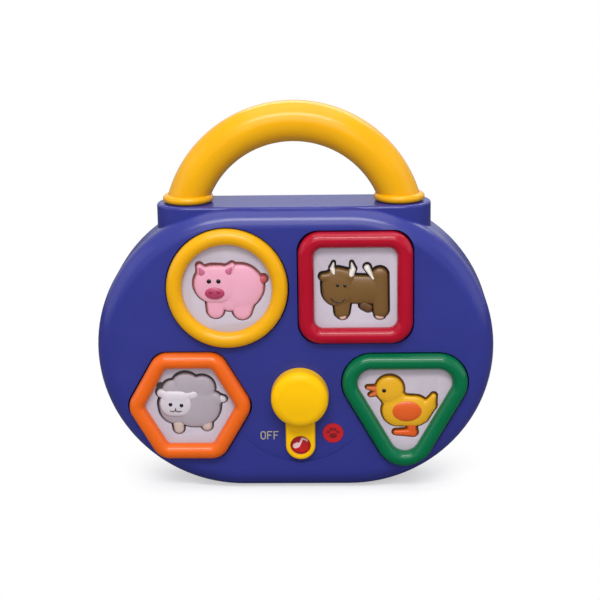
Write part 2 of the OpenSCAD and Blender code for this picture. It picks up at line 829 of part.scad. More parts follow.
module pocket_floor() {
    color(blue)
        difference() {
            union() {
                slab(y_floor + seat_gap / 2, y_floor_back)
                    bar([-end_x, end_r], [end_x, end_r], end_r - wall - fit_gap);
                for (at = post_places)
                    pin(at, standoff_r, y_floor_back - floor_t / 2, y_board - seat_gap);
                for (s = [-1, 1])
                    pin(pivot_at + [s * leaf_span / 2, -rotor_r - leaf_t], leaf_w / 2 + leaf_t,
                        y_floor_back - floor_t / 2, y_rotor_back);
            }
            for (shape = shapes)
                pin(shape[0], plunger_r + running_gap, y_floor - cut, y_floor_back + cut);
            for (at = screw_places)
                pin(at, screw_hole_r, y_floor - cut, y_floor_back + cut);
            for (at = post_places)
                pin(at, small_hole_r, y_floor_back, y_board + cut);
            pin(pivot_at, bush_r + fit_gap, y_floor - cut, y_floor_back + cut);
            detent_leaf(seat_gap);
        }
}

// Section of a rim: half-round bead, side wall behind it, and the ledge over the panel
function rim_profile(r) = concat(
    [for (k = [0:bead_steps])
        let (angle = 180 * k / bead_steps)
        [r - bead_r - bead_r * cos(angle), y_block + bead_r - bead_r * sin(angle)]],
    [[r, y_base], [r - rim_wall, y_base]],
    [for (x = [r - rim_wall, r - rim_w]) [x, y_block + panel_drop]]
);

module block_rim(shape, paint) {
    profile = rim_profile(shape[2]);
    color(paint)
        if (len(shape[1]) == 1)
            spun(shape[0]) round_rim_section(shape[2]);
        else
            swept_round(shape, profile);
}

// The same section with a true half-round bead, for the round block
module round_rim_section(r) {
    intersection() {
        translate([r - bead_r, y_block + bead_r]) circle(bead_r);
        translate([r - rim_w, y_block]) square([rim_w, bead_r]);
    }
    translate([r - rim_w, y_block + bead_r]) square([rim_w, panel_drop - bead_r]);
    translate([r - rim_wall, y_block + bead_r]) square([rim_wall, block_d - bead_r]);
}

// Flat outline of a figure, grown by a gap
module figure_outline(rows, grow) {
    for (row = rows)
        bar(row[0] * figure_unit, row[1] * figure_unit, row[2] * figure_unit + grow);
}

module block_panel(shape, rows) {
    color(panel_white)
        difference() {
            slab(y_panel, y_panel + panel_t) outline(shape, -panel_inset);
            slab(y_panel - cut, y_panel + panel_t + cut)
                translate(shape[0]) figure_outline(rows, window_gap);
        }
}

// Figure on its plate, in two levels: the head and body stand higher than the rest
module block_relief(shape, rows, paint) {
    y_step = y_panel - relief_h / 2;
    color(paint) {
        slab(y_relief, y_relief + relief_t) outline(shape, -relief_inset);
        slab(y_step, y_relief + relief_t / 2)
            translate(shape[0]) figure_outline(rows, 0);
        slab(y_panel - relief_h, y_step + relief_h / 4)
            translate(shape[0]) figure_outline([for (row = rows) if (row[3]) row], -relief_step);
    }
}

module block_base(shape, paint) {
    color(paint) {
        slab(y_base - base_t, y_base) outline(shape, -panel_inset);
        slab(y_panel + panel_t + seat_gap, y_base - base_t / 2) difference() {
            outline(shape, -panel_inset);
            outline(shape, -panel_inset - base_ring_t);
        }
        slab(y_relief + relief_t + seat_gap, y_base - base_t / 2)
            translate(shape[0]) difference() {
                circle(post_r);
                circle(post_r - post_wall);
            }
    }
}

module key_plunger(shape) {
    color(panel_white) {
        pin(shape[0], plunger_r, y_base + seat_gap, y_flange + plunger_flange_t / 2);
        pin(shape[0], plunger_flange_r, y_flange, y_flange + plunger_flange_t);
    }
}

// Rubber dome: a foot ring, a sloping skirt and a cap under the plunger
module key_dome(shape) {
    foot_r = plunger_r + dome_foot_w;
    cap_r = plunger_r - dome_cap_inset;
    y_foot = y_dome + dome_h;
    color(graphite)
        spun(shape[0])
            polygon([
                [foot_r, y_foot], [foot_r, y_foot - dome_skin], [plunger_r, y_foot - dome_skin],
                [cap_r, y_dome], [0, y_dome], [0, y_dome + 2 * dome_skin],
                [cap_r - dome_skin, y_dome + 2 * dome_skin], [plunger_r - dome_skin, y_foot]
            ]);
}

// Knob with a round edge, in radius and Y
module knob_profile() {
    square_h = knob_h - lever_lift;
    translate([0, y_knob]) square([knob_r - knob_edge_r, square_h]);
    translate([0, y_knob + knob_edge_r]) square([knob_r, square_h - knob_edge_r]);
    intersection() {
        translate([knob_r - knob_edge_r, y_knob + knob_edge_r]) circle(knob_edge_r);
        translate([0, y_knob]) square([knob_r, square_h]);
    }
}

module mode_lever() {
    color(yellow)
        difference() {
            union() {
                spun(pivot_at) knob_profile();
                slab(y_tongue, y_lever_back) bar(pivot_at, mark_at(0), tongue_w / 2);
                pin(pivot_at, shaft_d / 2, y_lever_back - cut, y_rotor - seat_gap);
            }
            pin(mark_at(0), window_d / 2, y_tongue - cut, y_lever_back + cut);
            pin(pivot_at, small_hole_r, y_rotor - small_screw_l, y_rotor + cut);
        }
}

module switch_rotor() {
    color(panel_white)
        difference() {
            pin(pivot_at, rotor_r, y_rotor, y_rotor_back);
            pin(pivot_at, small_hole_r, y_rotor - cut, y_rotor_back + cut);
            for (angle = [-mode_angle, 0, mode_angle])
                pin(pivot_at + turned([0, -rotor_r], angle), notch_r, y_rotor - cut, y_rotor_back + cut);
        }
}

module lever_screw() {
    color(steel)
        screw(pivot_at, y_rotor_back + seat_gap, small_screw_r, small_screw_l,
            small_head_r, lever_screw_head_t);
}

// Sprung ring on the rotor whose two fingers rub on the board
module switch_wiper() {
    y_plate = y_rotor_back + seat_gap;
    color(bronze) {
        slab(y_plate, y_plate + wiper_t)
            translate(pivot_at) difference() {
                circle(wiper_reach);
                circle(small_head_r + fit_gap);
            }
        for (s = [-1, 1])
            pin([pivot_at[0] + s * (wiper_reach - finger_r), pivot_at[1]], finger_r,
                y_plate + wiper_t / 2, y_board - seat_gap);
    }
}

// Bent leaf that drops into a notch of the rotor: a straight strip with a round bump
module detent_leaf(grow) {
    leaf_z = pivot_at[1] - rotor_r - leaf_t;
    slab(y_rotor + fit_gap - grow, y_rotor_back - fit_gap + grow)
        translate([pivot_at[0], leaf_z]) {
            translate([-leaf_span / 2 - leaf_w / 2, -leaf_t / 2 - grow])
                square([leaf_span + leaf_w, leaf_t + 2 * grow]);
            circle(notch_r - seat_gap + grow);
        }
}

module detent_spring() {
    color(steel) detent_leaf(0);
}

module mark_badge(angle) {
    color(dark_red)
        dish_pin(mark_at(angle), badge_r, badge_sink, badge_sink + badge_t);
}

module main_board() {
    color([0.05, 0.30, 0.14])
        difference() {
            slab(y_board, y_board_back)
                translate(board_at - [board_w, board_h] / 2) square([board_w, board_h]);
            for (at = post_places)
                pin(at, small_hole_r, y_board - cut, y_board_back + cut);
        }
}

module sound_chip() {
    dome_r = (chip_r * chip_r + chip_h * chip_h) / (2 * chip_h);
    y_chip = y_board_back + seat_gap;
    color(graphite)
        spun(chip_at)
            intersection() {
                translate([0, y_chip + chip_h - dome_r]) circle(dome_r, $fn = 360);
                translate([0, y_chip]) square([chip_r, chip_h]);
            }
}

module capacitor() {
    color(graphite)
        pin(capacitor_at, capacitor_r, y_board_back + seat_gap, y_board_back + seat_gap + capacitor_h);
}

module board_screws() {
    color(steel)
        for (at = post_places)
            screw(at, y_board_back + seat_gap, small_screw_r, small_screw_l, small_head_r, small_head_t);
}

module speaker_frame() {
    color(steel)
        spun(speaker_at)
            polygon([
                [speaker_r, y_speaker], [speaker_r, y_speaker - speaker_rim_t],
                [speaker_r - speaker_rim_w, y_speaker - speaker_rim_t],
                [magnet_r, y_speaker - speaker_basket_d], [0, y_speaker - speaker_basket_d],
                [0, y_speaker - speaker_basket_d + basket_wall],
                [magnet_r - basket_wall, y_speaker - speaker_basket_d + basket_wall],
                [speaker_r - speaker_rim_w, y_speaker - speaker_rim_t + basket_wall],
                [speaker_r - speaker_rim_w, y_speaker]
            ]);
}

module speaker_magnet() {
    color(graphite) pin(speaker_at, magnet_r, y_magnet - magnet_t, y_magnet);
}

// Paper cone with a dust cap, hung in the frame
module speaker_cone() {
    rim_r = speaker_r - speaker_rim_w - seat_gap;
    cap_r = magnet_r / 2;
    y_rim = y_speaker - speaker_rim_t + basket_wall + seat_gap;
    y_cap = y_speaker - speaker_basket_d + basket_wall + cone_clearance;
    y_cap_top = y_cap + cap_rise;
    color(graphite)
        spun(speaker_at)
            polygon([
                [rim_r, y_rim], [cap_r, y_cap], [0, y_cap_top], [0, y_cap_top + paper_t],
                [cap_r, y_cap + paper_t], [rim_r - hem_w, y_rim + paper_t], [rim_r, y_rim + paper_t]
            ]);
}

module speaker_screws() {
    color(steel)
        for (a = speaker_screw_angles) {
            at = speaker_screw_at(a);
            pin(at, small_screw_r, y_speaker - speaker_rim_t - small_head_t / 2, y_speaker - seat_gap);
            pin(at, small_head_r + washer_w, y_speaker - speaker_rim_t - small_head_t - seat_gap,
                y_speaker - speaker_rim_t - seat_gap);
        }
}

module battery_door() {
    color(blue)
        difference() {
            union() {
                slab(y_door, y_rear) door_plate(0);
                for (s = [-1, 1])
                    pin([0, box_z + s * ear_offset], ear_r, y_rear - ear_t, y_rear);
            }
            for (s = [-1, 1]) {
                at = [0, box_z + s * ear_offset];
                pin(at, small_hole_r, y_rear - ear_t - cut, y_rear + cut);
                pin(at, small_head_r + fit_gap, y_rear - ear_head_depth, y_rear + cut);
            }
        }
}

module door_screws() {
    color(steel)
        for (s = [-1, 1])
            screw([0, box_z + s * ear_offset], y_rear - ear_head_depth + seat_gap, small_screw_r,
                small_screw_l, small_head_r, small_head_t);
}

// Round cell along X, its button to the right
module cell(at_z) {
    body_l = cell_l - button_l;
    translate([-cell_l / 2, y_cells, at_z])
        rotate([0, 90, 0]) {
            cylinder(r = cell_r - seat_gap, h = body_l);
            cylinder(r = button_r, h = cell_l);
        }
}

module aa_cells() {
    color([0.16, 0.36, 0.22])
        for (z = cell_places) cell(z);
}

// Backing strip of a cell contact against the left wall of the box, as wide as the cell
module contact_strip(at_z) {
    translate([-box_in_w / 2 + seat_gap, y_cells - contact_w / 2, at_z - contact_w / 2])
        cube([contact_t, contact_w, contact_w]);
}

// Bowed leaf between the strip and the flat end of a cell
module cell_springs() {
    color(steel)
        for (z = cell_places) {
            contact_strip(z);
            intersection() {
                translate([-cell_l / 2 - seat_gap - spring_bow_r, y_cells, z - contact_w / 4])
                    difference() {
                        cylinder(r = spring_bow_r, h = contact_w / 2);
                        translate([0, 0, -cut])
                            cylinder(r = spring_bow_r - contact_t, h = contact_w / 2 + 2 * cut);
                    }
                translate([-box_in_w / 2 + seat_gap, y_cells - contact_w / 2, z - contact_w / 2])
                    cube([contact_room, contact_w, contact_w]);
            }
        }
}

// Flat strips with a raised pad that meets the button of each cell
module cell_plates() {
    color(steel)
        for (z = cell_places) {
            mirror([1, 0, 0]) contact_strip(z);
            translate([cell_l / 2 + seat_gap, y_cells, z])
                rotate([0, 90, 0]) cylinder(r = button_r, h = contact_room - 2 * seat_gap);
        }
}

// Eight-sided tube along a list of points
module wire(route) {
    sides = 8;
    last = len(route) - 1;
    rings = [for (i = [0:last])
        let (
            d = route[min(i + 1, last)] - route[max(i - 1, 0)],
            t = d / norm(d),
            u = cross(t, [1, 0.2, 0.1]) / norm(cross(t, [1, 0.2, 0.1])),
            v = cross(t, u)
        )
        [for (k = [0:sides - 1])
            let (angle = 360 / sides * k)
            route[i] + wire_d / 2 * (cos(angle) * u + sin(angle) * v)]];
    points = [for (ring = rings) each ring];
    walls = [for (i = [0:last - 1], k = [0:sides - 1])
        let (a = i * sides + k, b = i * sides + (k + 1) % sides)
        each [[a, a + sides, b], [b, a + sides, b + sides]]];
    caps = [for (k = [1:sides - 2]) each [
        [0, k, k + 1],
        [last * sides, last * sides + k + 1, last * sides + k]
    ]];
    polyhedron(points, concat(walls, caps));
}

module battery_leads() {
    color(dark_red)
        for (route = battery_routes) wire(route);
}

module speaker_leads() {
    color(graphite)
        for (route = speaker_routes) wire(route);
}

front_shell();
rear_shell();
handle();
shell_screws();
pocket_floor();
block_rim(circle_shape, yellow);  // circle_rim
block_panel(circle_shape, pig_rows);  // circle_panel
block_relief(circle_shape, pig_rows, [0.90, 0.62, 0.73]);  // pig_relief
block_base(circle_shape, yellow);  // circle_base
key_plunger(circle_shape);  // circle_plunger
key_dome(circle_shape);  // circle_dome
block_rim(square_shape, red);  // square_rim
block_panel(square_shape, cow_rows);  // square_panel
block_relief(square_shape, cow_rows, [0.49, 0.34, 0.18]);  // cow_relief
block_base(square_shape, red);  // square_base
key_plunger(square_shape);  // square_plunger
key_dome(square_shape);  // square_dome
block_rim(hexagon_shape, orange);  // hexagon_rim
block_panel(hexagon_shape, sheep_rows);  // hexagon_panel
block_relief(hexagon_shape, sheep_rows, [0.70, 0.67, 0.70]);  // sheep_relief
block_base(hexagon_shape, orange);  // hexagon_base
key_plunger(hexagon_shape);  // hexagon_plunger
key_dome(hexagon_shape);  // hexagon_dome
block_rim(triangle_shape, green);  // triangle_rim
block_panel(triangle_shape, duck_rows);  // triangle_panel
block_relief(triangle_shape, duck_rows, [0.94, 0.70, 0.08]);  // duck_relief
block_base(triangle_shape, green);  // triangle_base
key_plunger(triangle_shape);  // triangle_plunger
key_dome(triangle_shape);  // triangle_dome
mode_lever();
switch_rotor();
switch_wiper();
lever_screw();
detent_spring();
mark_badge(0);  // note_badge
mark_badge(mode_angle);  // sound_badge
main_board();
sound_chip();
capacitor();
board_screws();
speaker_frame();
speaker_magnet();
speaker_cone();
speaker_screws();
battery_door();
door_screws();
aa_cells();
cell_springs();
cell_plates();
battery_leads();
speaker_leads();
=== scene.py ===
"""Musical shape sorter: the looks of the toy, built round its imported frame."""
import math

import bmesh
import bpy
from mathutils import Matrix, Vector


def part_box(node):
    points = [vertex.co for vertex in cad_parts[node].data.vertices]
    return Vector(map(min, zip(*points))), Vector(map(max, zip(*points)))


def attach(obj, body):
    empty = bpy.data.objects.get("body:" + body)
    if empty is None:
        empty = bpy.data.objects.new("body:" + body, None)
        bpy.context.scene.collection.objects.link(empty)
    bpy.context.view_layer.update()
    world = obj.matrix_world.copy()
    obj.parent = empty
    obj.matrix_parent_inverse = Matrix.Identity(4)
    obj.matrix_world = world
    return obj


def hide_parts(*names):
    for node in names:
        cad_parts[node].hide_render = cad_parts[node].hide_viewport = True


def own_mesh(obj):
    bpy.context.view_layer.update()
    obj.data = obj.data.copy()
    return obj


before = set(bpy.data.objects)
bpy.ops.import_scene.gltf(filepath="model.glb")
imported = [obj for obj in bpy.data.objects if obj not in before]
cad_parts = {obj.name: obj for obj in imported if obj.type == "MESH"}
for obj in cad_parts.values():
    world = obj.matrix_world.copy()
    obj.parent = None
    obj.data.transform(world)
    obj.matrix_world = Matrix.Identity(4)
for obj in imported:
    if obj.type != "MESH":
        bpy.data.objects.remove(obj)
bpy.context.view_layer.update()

# Lengths below are millimetres, as in the part's source, and places take this factor to metres.
MM = 0.001

# Sizes of a block's bead and wall
BEAD_WIDTH = 9.4
BEAD_RADIUS = BEAD_WIDTH / 2
BLOCK_WALL = 2.2

# Levels from front to back, taken from the frame
BLOCK_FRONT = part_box("circle_rim")[0].y / MM
BLOCK_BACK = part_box("circle_rim")[1].y / MM
BEAD_BASE = BLOCK_FRONT + BEAD_RADIUS
PANEL_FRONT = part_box("circle_panel")[0].y / MM
PANEL_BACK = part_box("circle_panel")[1].y / MM
LEDGE = PANEL_FRONT - 0.1
PLATE_FRONT = PANEL_BACK + 0.1
PLATE_BACK = PLATE_FRONT + 1.8
GROOVE_FLOOR = PLATE_FRONT + 1.0
BODY_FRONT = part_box("front_shell")[0].y / MM


def middle(node):
    """Middle of a node's box, seen from the front."""
    low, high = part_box(node)
    return ((low.x + high.x) / 2 / MM, (low.z + high.z) / 2 / MM)


# Outline of a block: its centre, the centres of its corner arcs and their radius
MIDDLE_ONLY = [(0, 0)]
SQUARE_REACH = 20.5
HEXAGON_REACH = 24.71
TRIANGLE_REACH = 19.75
TRIANGLE_TOP = 11.6
TRIANGLE_TIP = -23.2
TRIANGLE_RADIUS = 18
CIRCLE = (middle("circle_rim"), MIDDLE_ONLY, 36.25)
SQUARE = (
    middle("square_rim"),
    [(SQUARE_REACH * a, SQUARE_REACH * b) for a, b in [(-1, -1), (1, -1), (1, 1), (-1, 1)]],
    13.5,
)
hexagon_turns = [math.radians(60 * i) for i in range(6)]
HEXAGON = (
    middle("hexagon_rim"),
    [(HEXAGON_REACH * math.cos(turn), HEXAGON_REACH * math.sin(turn)) for turn in hexagon_turns],
    12,
)
triangle_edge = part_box("triangle_rim")[1].z / MM
TRIANGLE = (
    (middle("triangle_rim")[0], triangle_edge - TRIANGLE_RADIUS - TRIANGLE_TOP),
    [(-TRIANGLE_REACH, TRIANGLE_TOP), (0, TRIANGLE_TIP), (TRIANGLE_REACH, TRIANGLE_TOP)],
    TRIANGLE_RADIUS,
)


# Modelling by hand: picking, extruding and finishing

def start_piece(name):
    """An empty mesh object at the origin, left in edit mode."""
    if bpy.context.mode != "OBJECT":
        bpy.ops.object.mode_set(mode="OBJECT")
    bpy.ops.object.select_all(action="DESELECT")
    bpy.ops.object.add(type="MESH", location=(0, 0, 0))
    piece = bpy.context.object
    piece.name = name
    piece.data.name = name
    bpy.ops.object.mode_set(mode="EDIT")
    bpy.ops.mesh.select_mode(type="VERT")
    return piece


def leave_piece(piece):
    """Back to object mode with only this piece selected."""
    if bpy.context.mode != "OBJECT":
        bpy.ops.object.mode_set(mode="OBJECT")
    bpy.ops.object.select_all(action="DESELECT")
    piece.select_set(True)
    bpy.context.view_layer.objects.active = piece


def enter_piece(piece):
    leave_piece(piece)
    bpy.ops.object.mode_set(mode="EDIT")


def picked_points():
    """The selected vertices' numbers, each with its place."""
    form = bmesh.from_edit_mesh(bpy.context.edit_object.data)
    return {v.index: v.co.copy() for v in form.verts if v.select}


def pick_points(numbers):
    """Selects the vertices with these numbers alone."""
    bpy.ops.mesh.select_mode(type="VERT")
    bpy.ops.mesh.select_all(action="DESELECT")
    form = bmesh.from_edit_mesh(bpy.context.edit_object.data)
    form.verts.ensure_lookup_table()
    for number in numbers:
        form.verts[number].select_set(True)
    form.select_flush_mode()
    bmesh.update_edit_mesh(bpy.context.edit_object.data)


def pick_faces(test):
    """Selects the faces whose centre and normal pass the test, in millimetres."""
    bpy.ops.mesh.select_mode(type="FACE")
    bpy.ops.mesh.select_all(action="DESELECT")
    form = bmesh.from_edit_mesh(bpy.context.edit_object.data)
    form.normal_update()
    for face in form.faces:
        if test(face.calc_center_median() / MM, face.normal):
            face.select_set(True)
    bmesh.update_edit_mesh(bpy.context.edit_object.data)


def pick_edges(test):
    """Selects the edges that pass the test."""
    bpy.ops.mesh.select_mode(type="EDGE")
    bpy.ops.mesh.select_all(action="DESELECT")
    form = bmesh.from_edit_mesh(bpy.context.edit_object.data)
    for edge in form.edges:
        if test(edge):
            edge.select_set(True)
    bmesh.update_edit_mesh(bpy.context.edit_object.data)


def push_out(distance):
    """Extrudes what is selected along Y."""
    bpy.ops.mesh.extrude_region_move(TRANSFORM_OT_translate={"value": (0, distance * MM, 0)})


def step_in(sideways, forwards):
    """Insets the selected face and lifts it along its normal."""
    bpy.ops.mesh.inset(thickness=sideways * MM, depth=forwards * MM, use_even_offset=True)


def turn_normals_out():
    bpy.ops.mesh.select_all(action="SELECT")
    bpy.ops.mesh.normals_make_consistent(inside=False)


def own_points(ring, centre, corner, corners):
    """The numbers of the ring's vertices that belong to the arc at this corner."""
    own = []
    for number, place in ring.items():
        ray = (place.x / MM - centre[0], place.z / MM - centre[1])
        nearest = max(corners, key=lambda c: round(c[0] * ray[0] + c[1] * ray[1], 6))
        if nearest == corner:
            own.append(number)
    return own


def outline_face(shape, level, inset=0.0, points=120):
    """A face that looks forwards: a circle whose arcs are moved out to the corners of the outline."""
    (x, z), corners, radius = shape
    bpy.ops.mesh.primitive_circle_add(
        vertices=points,
        radius=(radius - inset) * MM,
        fill_type="NGON",
        location=(x * MM, level * MM, z * MM),
        rotation=(math.radians(90), 0, 0),
    )
    ring = picked_points()
    for corner in corners:
        pick_points(own_points(ring, (x, z), corner, corners))
        bpy.ops.transform.translate(value=(corner[0] * MM, 0, corner[1] * MM))
    pick_points(ring)
    bpy.ops.mesh.select_mode(type="FACE")


def apply_modifier(piece, kind, **settings):
    """Adds a modifier with these settings and applies it."""
    leave_piece(piece)
    modifier = piece.modifiers.new(kind.title(), kind)
    for key, value in settings.items():
        setattr(modifier, key, value)
    bpy.ops.object.modifier_apply(modifier=modifier.name)


def join_pieces(main, others):
    leave_piece(main)
    for other in others:
        other.select_set(True)
    bpy.ops.object.join()
    return main


def smooth(piece, angle=40):
    leave_piece(piece)
    bpy.ops.object.shade_smooth_by_angle(angle=math.radians(angle))


def paint(piece, finish):
    piece.data.materials.clear()
    piece.data.materials.append(finish)


def seat(piece, body, slot, *stands_for):
    """Lets the piece ride on its body and stand for its nodes."""
    leave_piece(piece)
    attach(piece, body)
    if stands_for:
        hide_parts(*stands_for)


# Finishes

def tone(red, green, blue):
    """A colour as it is seen on a screen, from 0 to 255, made linear."""
    def linear(value):
        value /= 255
        return value / 12.92 if value <= 0.04045 else ((value + 0.055) / 1.055) ** 2.4
    return (linear(red), linear(green), linear(blue), 1)


def socket(group, name, kind, way, value=None):
    made = group.interface.new_socket(name=name, in_out=way, socket_type=kind)
    if value is not None:
        made.default_value = value


def moulded_group():
    """Moulded plastic: a slow drift of the colour, and a fine orange peel that the gloss rides on."""
    group = bpy.data.node_groups.new("moulded_skin", "ShaderNodeTree")
    socket(group, "Tint", "NodeSocketColor", "INPUT")
    socket(group, "Shade", "NodeSocketColor", "INPUT")
    socket(group, "Gloss", "NodeSocketFloat", "INPUT", 0.3)
    socket(group, "Peel", "NodeSocketFloat", "INPUT", 0.1)
    socket(group, "Color", "NodeSocketColor", "OUTPUT")
    socket(group, "Roughness", "NodeSocketFloat", "OUTPUT")
    socket(group, "Normal", "NodeSocketVector", "OUTPUT")
    tree = group.nodes
    link = group.links.new
    given = tree.new("NodeGroupInput")
    result = tree.new("NodeGroupOutput")
    place = tree.new("ShaderNodeTexCoord")
    drift = tree.new("ShaderNodeTexNoise")
    drift.inputs["Scale"].default_value = 38
    drift.inputs["Detail"].default_value = 3
    spread = tree.new("ShaderNodeMapRange")
    spread.inputs["From Min"].default_value = 0.3
    spread.inputs["From Max"].default_value = 0.7
    colours = tree.new("ShaderNodeMix")
    colours.data_type = "RGBA"
    peel = tree.new("ShaderNodeTexNoise")
    peel.inputs["Scale"].default_value = 650
    peel.inputs["Detail"].default_value = 2
    smear = tree.new("ShaderNodeTexNoise")
    smear.inputs["Scale"].default_value = 120
    smear.inputs["Detail"].default_value = 5
    wander = tree.new("ShaderNodeMath")
    wander.operation = "MULTIPLY_ADD"
    wander.inputs[1].default_value = 0.12
    level = tree.new("ShaderNodeMath")
    level.operation = "SUBTRACT"
    level.inputs[1].default_value = 0.06
    bump = tree.new("ShaderNodeBump")
    bump.inputs["Distance"].default_value = 0.00008
    link(place.outputs["Object"], drift.inputs["Vector"])
    link(place.outputs["Object"], peel.inputs["Vector"])
    link(place.outputs["Object"], smear.inputs["Vector"])
    link(drift.outputs["Fac"], spread.inputs["Value"])
    link(spread.outputs["Result"], colours.inputs["Factor"])
    link(given.outputs["Tint"], colours.inputs["A"])
    link(given.outputs["Shade"], colours.inputs["B"])
    link(colours.outputs["Result"], result.inputs["Color"])
    link(smear.outputs["Fac"], wander.inputs[0])
    link(given.outputs["Gloss"], wander.inputs[2])
    link(wander.outputs["Value"], level.inputs[0])
    link(level.outputs["Value"], result.inputs["Roughness"])
    link(peel.outputs["Fac"], bump.inputs["Height"])
    link(given.outputs["Peel"], bump.inputs["Strength"])
    link(bump.outputs["Normal"], result.inputs["Normal"])
    return group


MOULDED = moulded_group()


def plastic(name, tint, shade=None, gloss=0.28, peel=0.12, specular=0.5, coat=0.0):
    """A moulded plastic, with a slightly deeper tone where the colour drifts."""
    finish = bpy.data.materials.new(name)
    finish.use_nodes = True
    tree = finish.node_tree
    shader = tree.nodes["Principled BSDF"]
    skin = tree.nodes.new("ShaderNodeGroup")
    skin.node_tree = MOULDED
    skin.inputs["Tint"].default_value = tone(*tint)
    skin.inputs["Shade"].default_value = tone(*(shade or [v * 0.96 for v in tint]))
    skin.inputs["Gloss"].default_value = gloss
    skin.inputs["Peel"].default_value = peel
    shader.inputs["Specular IOR Level"].default_value = specular
    shader.inputs["Coat Weight"].default_value = coat
    shader.inputs["Coat Roughness"].default_value = 0.08
    tree.links.new(skin.outputs["Color"], shader.inputs["Base Color"])
    tree.links.new(skin.outputs["Roughness"], shader.inputs["Roughness"])
    tree.links.new(skin.outputs["Normal"], shader.inputs["Normal"])
    finish.diffuse_color = tone(*tint)
    return finish


def metal(name, tint, roughness):
    finish = plastic(name, tint, gloss=roughness, peel=0.2)
    finish.node_tree.nodes["Principled BSDF"].inputs["Metallic"].default_value = 1
    return finish


blue_shell = plastic("blue_shell", (45, 50, 129), (42, 47, 124), gloss=0.24, peel=0.08, specular=0.35)
yellow_gloss = plastic("yellow_gloss", (221, 161, 0), (217, 155, 0), gloss=0.24, peel=0.08, specular=0.28)
lever_yellow = plastic("lever_yellow", (236, 183, 0), (232, 177, 0), gloss=0.38, peel=0.08, specular=0.12)
red_gloss = plastic("red_gloss", (164, 10, 38), (158, 8, 35), gloss=0.14, peel=0.05, specular=0.25)
orange_gloss = plastic("orange_gloss", (222, 98, 22), (216, 92, 20), gloss=0.16, peel=0.05, specular=0.25)
green_gloss = plastic("green_gloss", (0, 102, 62), (0, 97, 58), gloss=0.14, peel=0.05, specular=0.25)
panel_white = plastic("panel_white", (190, 180, 191), (184, 174, 185), gloss=0.34, peel=0.08)
white_plastic = plastic("white_plastic", (226, 222, 224), gloss=0.34)
pig_pink = plastic("pig_pink", (220, 157, 178), (214, 151, 171), gloss=0.38)
snout_pink = plastic("snout_pink", (168, 54, 92), (162, 48, 86), gloss=0.36)
ear_pink = plastic("ear_pink", (190, 100, 134), gloss=0.38)
nostril_pink = plastic("nostril_pink", (136, 30, 68), gloss=0.40)
tail_red = plastic("tail_red", (182, 80, 84), gloss=0.40)
cow_brown = plastic("cow_brown", (112, 79, 34), (106, 74, 32), gloss=0.36)
horn_cream = plastic("horn_cream", (226, 220, 210), gloss=0.34)
hoof_pink = plastic("hoof_pink", (210, 176, 160), gloss=0.38)
udder_brown = plastic("udder_brown", (94, 62, 30), gloss=0.40)
smile_brown = plastic("smile_brown", (44, 28, 12), gloss=0.40)
sheep_grey = plastic("sheep_grey", (166, 156, 164), (160, 150, 158), gloss=0.40)
fleece_white = plastic("fleece_white", (202, 194, 201), gloss=0.38)
foot_cream = plastic("foot_cream", (194, 174, 166), gloss=0.40)
duck_yellow = plastic("duck_yellow", (218, 163, 10), (212, 156, 10), gloss=0.32)
duck_orange = plastic("duck_orange", (212, 86, 16), (206, 80, 14), gloss=0.32)
bill_orange = plastic("bill_orange", (200, 98, 44), gloss=0.34)
# Groove plates: each figure's own colour painted darker, as painted shade in the sunken groove round the
# figure
pig_groove_painted_shade = plastic("pig_groove_painted_shade", (190, 116, 106), gloss=0.45)
cow_groove_painted_shade = plastic("cow_groove_painted_shade", (44, 30, 16), gloss=0.45)
sheep_groove_painted_shade = plastic("sheep_groove_painted_shade", (92, 80, 78), gloss=0.45)
duck_groove_painted_shade = plastic("duck_groove_painted_shade", (140, 96, 22), gloss=0.45)
eye_black = plastic("eye_black", (14, 12, 16), gloss=0.18)
badge_red = plastic("badge_red", (190, 20, 32), (182, 18, 30), gloss=0.30)
mark_red = plastic("mark_red", (124, 10, 20), gloss=0.36)
note_white = plastic("note_white", (236, 206, 216), gloss=0.36)
off_cream = plastic("off_cream", (168, 164, 134), gloss=0.40)
dome_rubber = plastic("dome_rubber", (52, 52, 54), gloss=0.60, peel=0.3)
board_green = plastic("board_green", (14, 78, 36), gloss=0.30)
black_resin = plastic("black_resin", (16, 16, 18), gloss=0.40)
cone_paper = plastic("cone_paper", (28, 28, 28), gloss=0.75, peel=0.5)
cell_wrap = plastic("cell_wrap", (42, 92, 56), gloss=0.30)
wire_red = plastic("wire_red", (128, 14, 18), gloss=0.35)
wire_black = plastic("wire_black", (20, 20, 23), gloss=0.35)
steel = metal("steel", (190, 192, 196), 0.32)
bronze = metal("bronze", (198, 160, 98), 0.34)


# Blocks: the bead all round, and the panel with its window
BEAD_STEPS = 18
HEXAGON_POINTS = 48
FIGURE_ROOT = PLATE_FRONT - 0.3
SHORTEST_RUN = 0.01
TOP_SQUEEZE = 0.36
RAY_START = -0.2
PLATE_INSET = 4.2
PANEL_INSET = 2.4
WINDOW_GAP = 1.05
WINDOW_LIFT = 0.9
WINDOW_EDGE = 0.3
CUT_START = PANEL_BACK + 3
CUT_LENGTH = PANEL_BACK - PANEL_FRONT + 6


